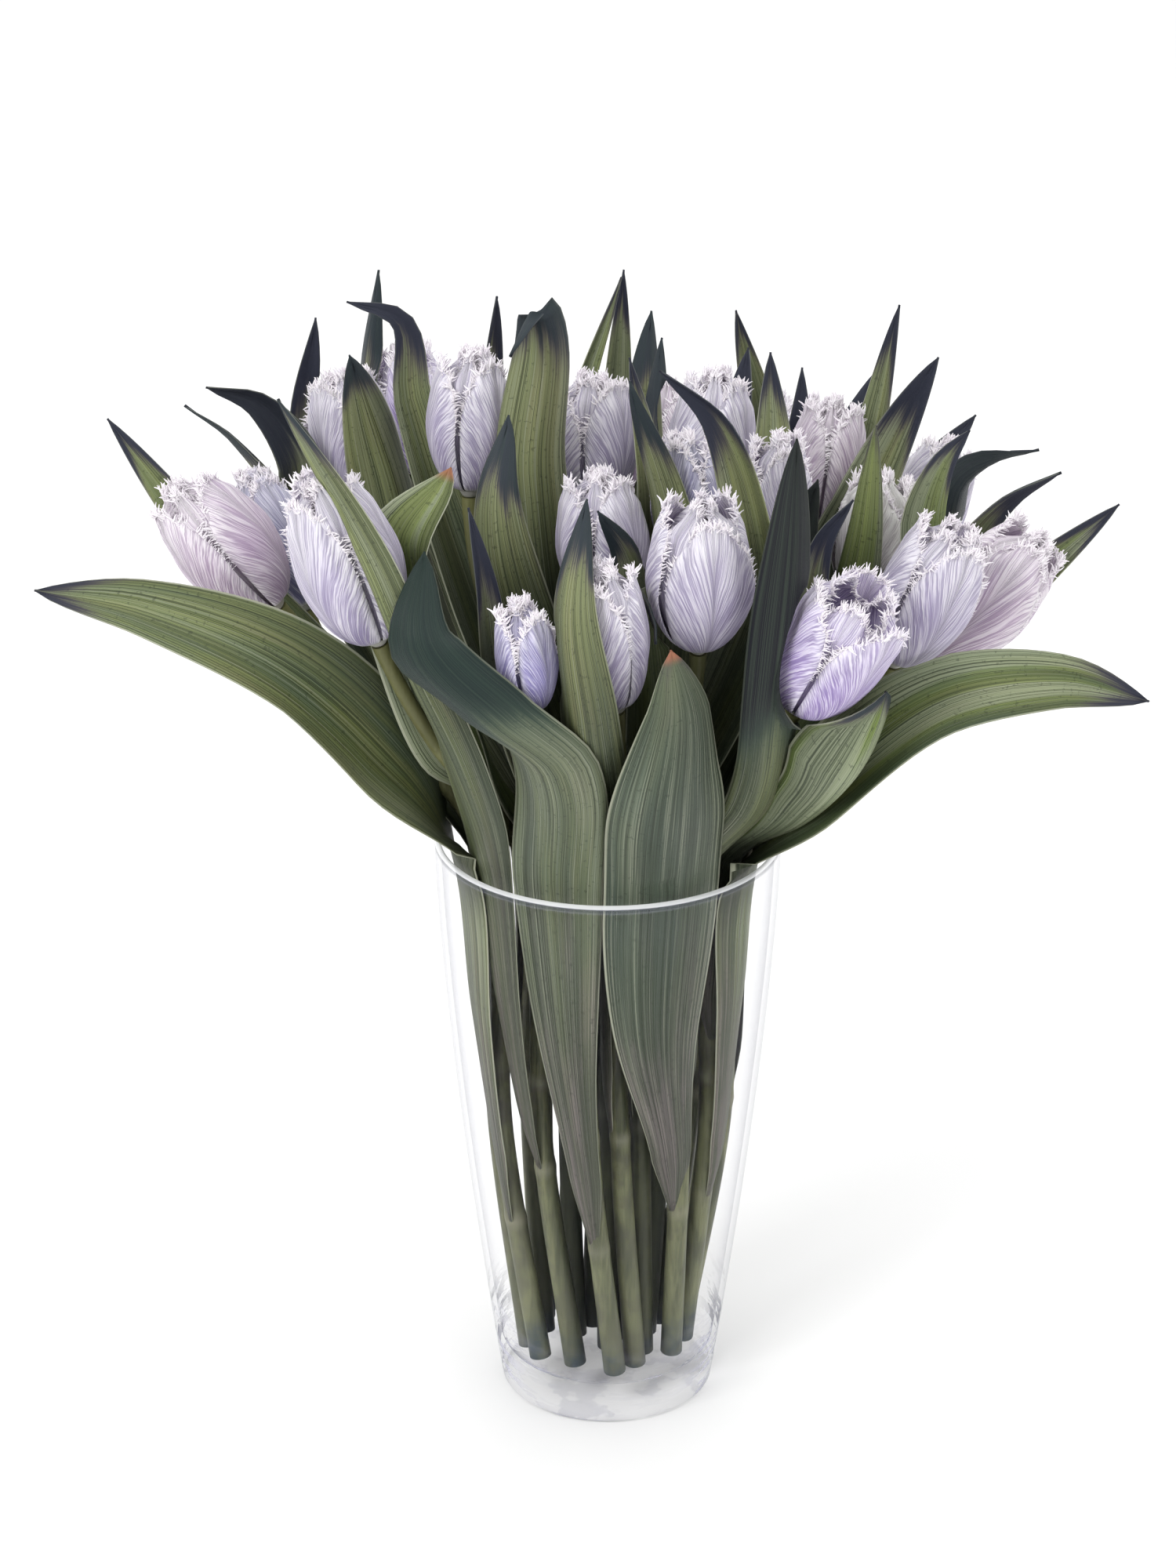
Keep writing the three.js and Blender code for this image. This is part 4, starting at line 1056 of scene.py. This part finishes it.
def vase_profile():
    """The glass's section: flat foot, bulging outside, round rim, inside and thick round floor."""
    wall, floor, corner, foot = VASE["wall"], VASE["floor"], VASE["corner"], VASE["foot"]
    top, lip = VASE["height"], wall / 2
    bend = top - lip
    middle = vase_radius(top) - lip
    standing = vase_radius(0) - foot
    inner = floor + corner
    profile = [(0, 0), (20, 0), (standing, 0)]
    profile += [(standing + foot * sin, foot * (1 - cos)) for cos, sin in arc(math.pi / 2, 5)]
    profile += [(vase_radius(z), z) for z in np.linspace(foot, bend, 40)]
    profile += [(middle + lip * cos, bend + lip * sin) for cos, sin in arc(math.pi, 8)]
    profile += [(vase_radius(z) - wall, z) for z in np.linspace(bend, inner, 40)]
    profile += [
        (vase_radius(inner) - wall - corner * (1 - cos), floor + corner * (1 - sin))
        for cos, sin in arc(math.pi / 2, 8, closed=True)
    ]
    return profile + [(15, floor), (0, floor)]


points, faces = turned(vase_profile())
vase = mesh_object("glass_vase", points, faces, GLASS_FINISH)
dressed("vase", "clear_glass", vase)

# ---- Petals and their fringe -----------------------------------------------------------------


def crosswise(axis):
    """Two directions square to an axis."""
    side = unit(np.array([1.0, 0, 0]) - axis * axis[0])
    return side, np.cross(axis, side)


def cup_radius(flower, t):
    """The radius of a closed cup of petals at a share of its height."""
    swelled = np.minimum(t / PETAL["swelled_at"], 1) ** PETAL["fullness"]
    close = 1 - (PETAL["closing"] - flower.open) * smoothstep(t, 0.42, 1.04)
    return PETAL["root"] + (flower.radius - PETAL["root"]) * np.sin(math.pi / 2 * swelled) * close


def petal_surface(flower, number, dice, rows=26, columns=21):
    """A petal: one of three outside (even numbers) or one of three inside (odd numbers)."""
    side, other = crosswise(flower.axis)
    inner = number % 2 == 1
    t = np.linspace(0, 1, rows)[:, None]
    u = np.linspace(-1, 1, columns)[None, :]
    tucked = mix(PETAL["root"] / 2, PETAL["inner_step"], np.minimum(t * 3, 1)) if inner else 0
    lap = 0.0 if inner else PETAL["lap"] * u * smoothstep(t, 0.1, 0.5)
    ripple = PETAL["ripple"] * np.sin(4.6 * math.pi * u + dice.uniform(0, 6.28)) * t**6
    pleat = PETAL["pleat"] * np.sin(3 * math.pi * u + 2.5 * t + dice.uniform(0, 6.28))
    pleat = pleat * smoothstep(t, 0.15, 0.6)
    tuck = PETAL["inner_tuck" if inner else "outer_tuck"] * flower.radius
    tuck = tuck * smoothstep(t, 0.82, 1.0) * (1 - flower.open)
    rib = PETAL["midrib"] * np.exp(-((u / 0.13) ** 2)) * np.sin(math.pi * t)
    stray = dice.uniform(-0.8, 0.8) * t**2
    out = cup_radius(flower, t) - tucked + lap + ripple + pleat - rib - tuck + stray
    narrow = 1 - 0.22 * np.maximum((t - 0.6) / 0.4, 0) ** 2
    turn = number * math.pi / 3 + flower.seat[0] * 0.7 + PETAL["swing"] * narrow * u
    rounded = PETAL["shoulder"] * flower.length * np.abs(u) ** 2.2 * t**3
    top = flower.length + (PETAL["inner_rise"] if inner else 0) + dice.uniform(-1.5, 1)
    height = mix(PETAL["base"], top, t) - rounded
    parts = (flower.axis * height[..., None], side * (out * np.cos(turn))[..., None])
    return flower.seat + parts[0] + parts[1] + other * (out * np.sin(turn))[..., None]


def along_line(line, steps):
    """The points at fractional steps along a line of points, and the whole step below each."""
    low = np.clip(steps.astype(int), 0, len(line) - 2)
    return mix(line[low], line[low + 1], np.clip(steps - low, 0, 1)[:, None]), low


def fringe_roots(surface, dice):
    """Where the needles of one petal's fringe stand, and which way and how far they reach."""
    rows, columns = surface.shape[:2]
    along = unit(np.gradient(surface, axis=0))
    across = unit(np.gradient(surface, axis=1))
    normal = unit(np.cross(across, along))
    roots, reaches = [], []
    first, count = int(rows * FRINGE["start"]), FRINGE["edge_needles"]
    for c, sign in ((0, -1), (columns - 1, 1)):
        steps = np.linspace(first, rows - 1, count) + dice.uniform(-0.3, 0.3, count)
        rise = (steps - first) / (rows - 1 - first)
        root, low = along_line(surface[:, c], steps)
        way = along[low, c] * 0.75 + sign * across[low, c] * 0.8
        stray = dice.normal(0, 0.22, (count, 3))
        way = way + normal[low, c] * dice.normal(0.15, 0.4, (count, 1)) + stray
        reach = mix(FRINGE["low_reach"], FRINGE["high_reach"], smoothstep(rise, 0, 0.8))
        reach = reach * dice.uniform(0.5, 1.25, count)
        roots.append(root)
        reaches.append(unit(way) * reach[:, None])
    for inset, count, far in TOP_ROWS:
        steps = np.linspace(0, columns - 1, count) + dice.uniform(-0.15, 0.15, count)
        root, low = along_line(surface[-1], steps)
        lean = (steps / (columns - 1) * 2 - 1)[:, None]
        way = along[-1, low] + across[-1, low] * lean * 0.55
        way = way + normal[-1, low] * dice.normal(0.05, 0.55, (count, 1))
        way = way + dice.normal(0, 0.26, (count, 3))
        roots.append(root - along[-1, low] * inset)
        reaches.append(unit(way) * (far * dice.uniform(0.55, 1.2, count))[:, None])
    return np.concatenate(roots), np.concatenate(reaches)


def bloom_heart(flower, sides=14):
    """The solid heart under the petals, where they grow from the stem."""
    side, other = crosswise(flower.axis)
    angle = np.linspace(0, 2 * math.pi, sides, endpoint=False)[:, None]
    rings = [
        flower.seat + flower.axis * height + radius * (side * np.cos(angle) + other * np.sin(angle))
        for height, radius in HEART
    ]
    points = np.concatenate(rings)
    return points, ring_faces(len(HEART), sides, capped=True), np.tile([0.5, 0.0], (len(points), 1))


def stalk(flower, plan, turn, is_pistil, sides=8):
    """One tapered stalk in the middle of a bloom, leaning outwards to the side at turn."""
    side, other = crosswise(flower.axis)
    share = np.array(STALK_SHARES)[:, None]
    size = flower.radius / 20
    angle = np.linspace(0, 2 * math.pi, sides, endpoint=False)[None, :]
    reach = (plan["out"] + plan["lean"] * share) * size
    girth = np.array(plan["girth"])[:, None] * size
    x = reach * math.cos(turn) + girth * np.cos(angle)
    y = reach * math.sin(turn) + girth * np.sin(angle)
    height = STALK_FOOT + plan["height"] * size * share + 0 * angle
    across, up = side * x[..., None] + other * y[..., None], flower.axis * height[..., None]
    places = np.stack([np.full(x.shape, float(is_pistil)), share + 0 * angle], axis=-1)
    faces = ring_faces(len(share), sides, capped=True)
    return (flower.seat + (up + across)).reshape(-1, 3), faces, places.reshape(-1, 2)


def bloom_centre(flower):
    """Six stamens and the pistil between them."""
    turns = [k * math.pi / 3 + 0.3 for k in range(6)]
    stamens = [stalk(flower, STAMEN, turn, False) for turn in turns]
    return [*stamens, stalk(flower, PISTIL, 0, True)]


def dress_bloom(number, flower):
    """Petals, their fringe and the stamens in place of one bloom's plain solid."""
    name = f"tulip_{number:02d}"
    dice = np.random.default_rng(number)
    surfaces = [petal_surface(flower, k, dice) for k in range(6)]
    blades = [blade(surface, PETAL["thickness"]) for surface in surfaces]
    heart = bloom_heart(flower)
    seed = np.repeat(dice.uniform(0, 50, 6), [len(points) for points, _, _ in blades])
    marks = {"seed": np.concatenate([seed, np.zeros(len(heart[0]))])}
    points, faces, places = joined([*blades, heart])
    finish = PETAL_FINISH[flower.tone]
    petals = mesh_object(f"{name}_petals", points, faces, finish, places, marks)
    fringes = [fringe_roots(surface, dice) for surface in surfaces]
    roots, reaches = (np.concatenate(found) for found in zip(*fringes))
    fringe = mesh_object(f"{name}_fringe", roots, [], marks={"reach": reaches * MM})
    sizes = {"Needle width": NEEDLE["width"], "Needle bow": NEEDLE["bow"], "Seed": number}
    fringe = grown(fringe, FRINGE_TREE[flower.tone], sizes)
    points, faces, places = joined(bloom_centre(flower))
    stamens = mesh_object(f"{name}_stamens", points, faces, STAMEN_FINISH, places)
    dressed(f"{name}_bloom", f"petal_{flower.tone}", petals, fringe, stamens)


def dress_stem(number, flower):
    """A round stem and its leaves in place of one leafy stem's plain solid."""
    name = f"tulip_{number:02d}"
    top = flower.seat[2]
    z = np.linspace(FOOT, top, STEM["rows"])
    growths = [(k, growth) for k, growth in enumerate(LEAVES) if growth.tulip == number]
    off_nodes = [(z - growth.node) / STEM["ring_spread"] for _, growth in growths]
    ring = np.max([np.exp(-(off**2)) for off in off_nodes], axis=0)
    swelling = STEM["swell"] * smoothstep(z, top - STEM["swell_length"], top)
    thick = stem_radius(z) + STEM["node_ring"] * ring + swelling
    marks = {
        "thick": thick * MM, "rise": (z - FOOT) / (top - FOOT), "ring": ring,
        "seed": np.full(len(z), 3.7 * number),
    }
    edges = [(i, i + 1) for i in range(len(z) - 1)]
    stem = mesh_object(f"{name}_stem", flower.line(z), [], marks=marks, edges=edges)
    stem = grown(stem, STEM_TREE, {"Sides": STEM["sides"]})
    blades = [leaf_blade(growth, k) for k, growth in growths]
    points, faces, places = joined(blades)
    sizes = [len(blade_points) for blade_points, _, _ in blades]
    dice = np.random.default_rng(200 + number)
    marks = {
        "seed": np.repeat(dice.uniform(0, 50, len(growths)), sizes),
        "dark": np.repeat([growth.dark for _, growth in growths], sizes),
        "lime": np.repeat([growth.lime for _, growth in growths], sizes),
        "inner": np.concatenate([np.repeat([1.0, 0.0], size // 2) for size in sizes]),
    }
    leaves = mesh_object(f"{name}_leaves", drawn_in(points), faces, LEAF_FINISH, places, marks)
    dressed(f"{name}_leafy_stem", "foliage", stem, leaves)


PETAL_FINISH = {tone: petal_finish(tone) for tone in PETAL_COLOURS}
NEEDLE_SIZES = {"Needle width": "Float", "Needle bow": "Float", "Seed": "Int"}
FRINGE_TREE = {
    tone: growing_tree("stand needles", NEEDLE_SIZES, standing_needles, fringe_finish(tone))
    for tone in PETAL_COLOURS
}
STEM_TREE = growing_tree("sweep stems", {"Sides": "Int"}, swept_stem, STEM_FINISH)
for number, flower in enumerate(TULIPS, 1):
    dress_stem(number, flower)
    dress_bloom(number, flower)

# ---- Studio ----------------------------------------------------------------------------------


MIDDLE = np.array([0, 0, 0.3])
FLOOR = dict(half=30000, drop=0.4)
CAMERA = dict(place=(0, -1.641, 0.998), lens=102.7, sensor=36, down=23.88, turn=0.28)


def soft_light(name, place, size, power):
    """A square softbox at a place in metres that faces the middle of the bouquet."""
    lamp = bpy.data.lights.new(name, "AREA")
    lamp.shape, lamp.size, lamp.energy = "SQUARE", size, power
    box = placed(name, lamp)
    box.location = place
    way = MIDDLE - np.array(place, float)
    pitch = math.acos(-way[2] / np.linalg.norm(way))
    box.rotation_euler = Euler((pitch, 0, math.atan2(way[1], way[0]) - math.pi / 2))


soft_light("key softbox", (-1.3, -1.5, 2.0), 0.9, 26)
soft_light("fill softbox", (1.7, -1.1, 1.2), 1.4, 5)
soft_light("top softbox", (0.2, 0.6, 2.2), 1.6, 8)

corners = [(x, y, -FLOOR["drop"]) for x, y in ((-1, -1), (1, -1), (1, 1), (-1, 1))]
corners = np.array(corners) * [FLOOR["half"], FLOOR["half"], 1]
mesh_object("studio_floor", corners, [(0, 1, 2, 3)], floor_finish())

scene = bpy.context.scene
scene.world = bpy.data.worlds.new("white studio")
scene.world.use_nodes = True
sky = scene.world.node_tree.nodes["Background"].inputs
sky["Color"].default_value = (1, 1, 1, 1)
sky["Strength"].default_value = 1.0
scene.view_settings.view_transform = "Standard"

lens = bpy.data.cameras.new("camera")
lens.sensor_width, lens.lens = CAMERA["sensor"], CAMERA["lens"]
camera = placed("camera", lens)
camera.location = CAMERA["place"]
camera.rotation_euler = Euler((math.radians(90 - CAMERA["down"]), 0, math.radians(CAMERA["turn"])))
scene.camera = camera
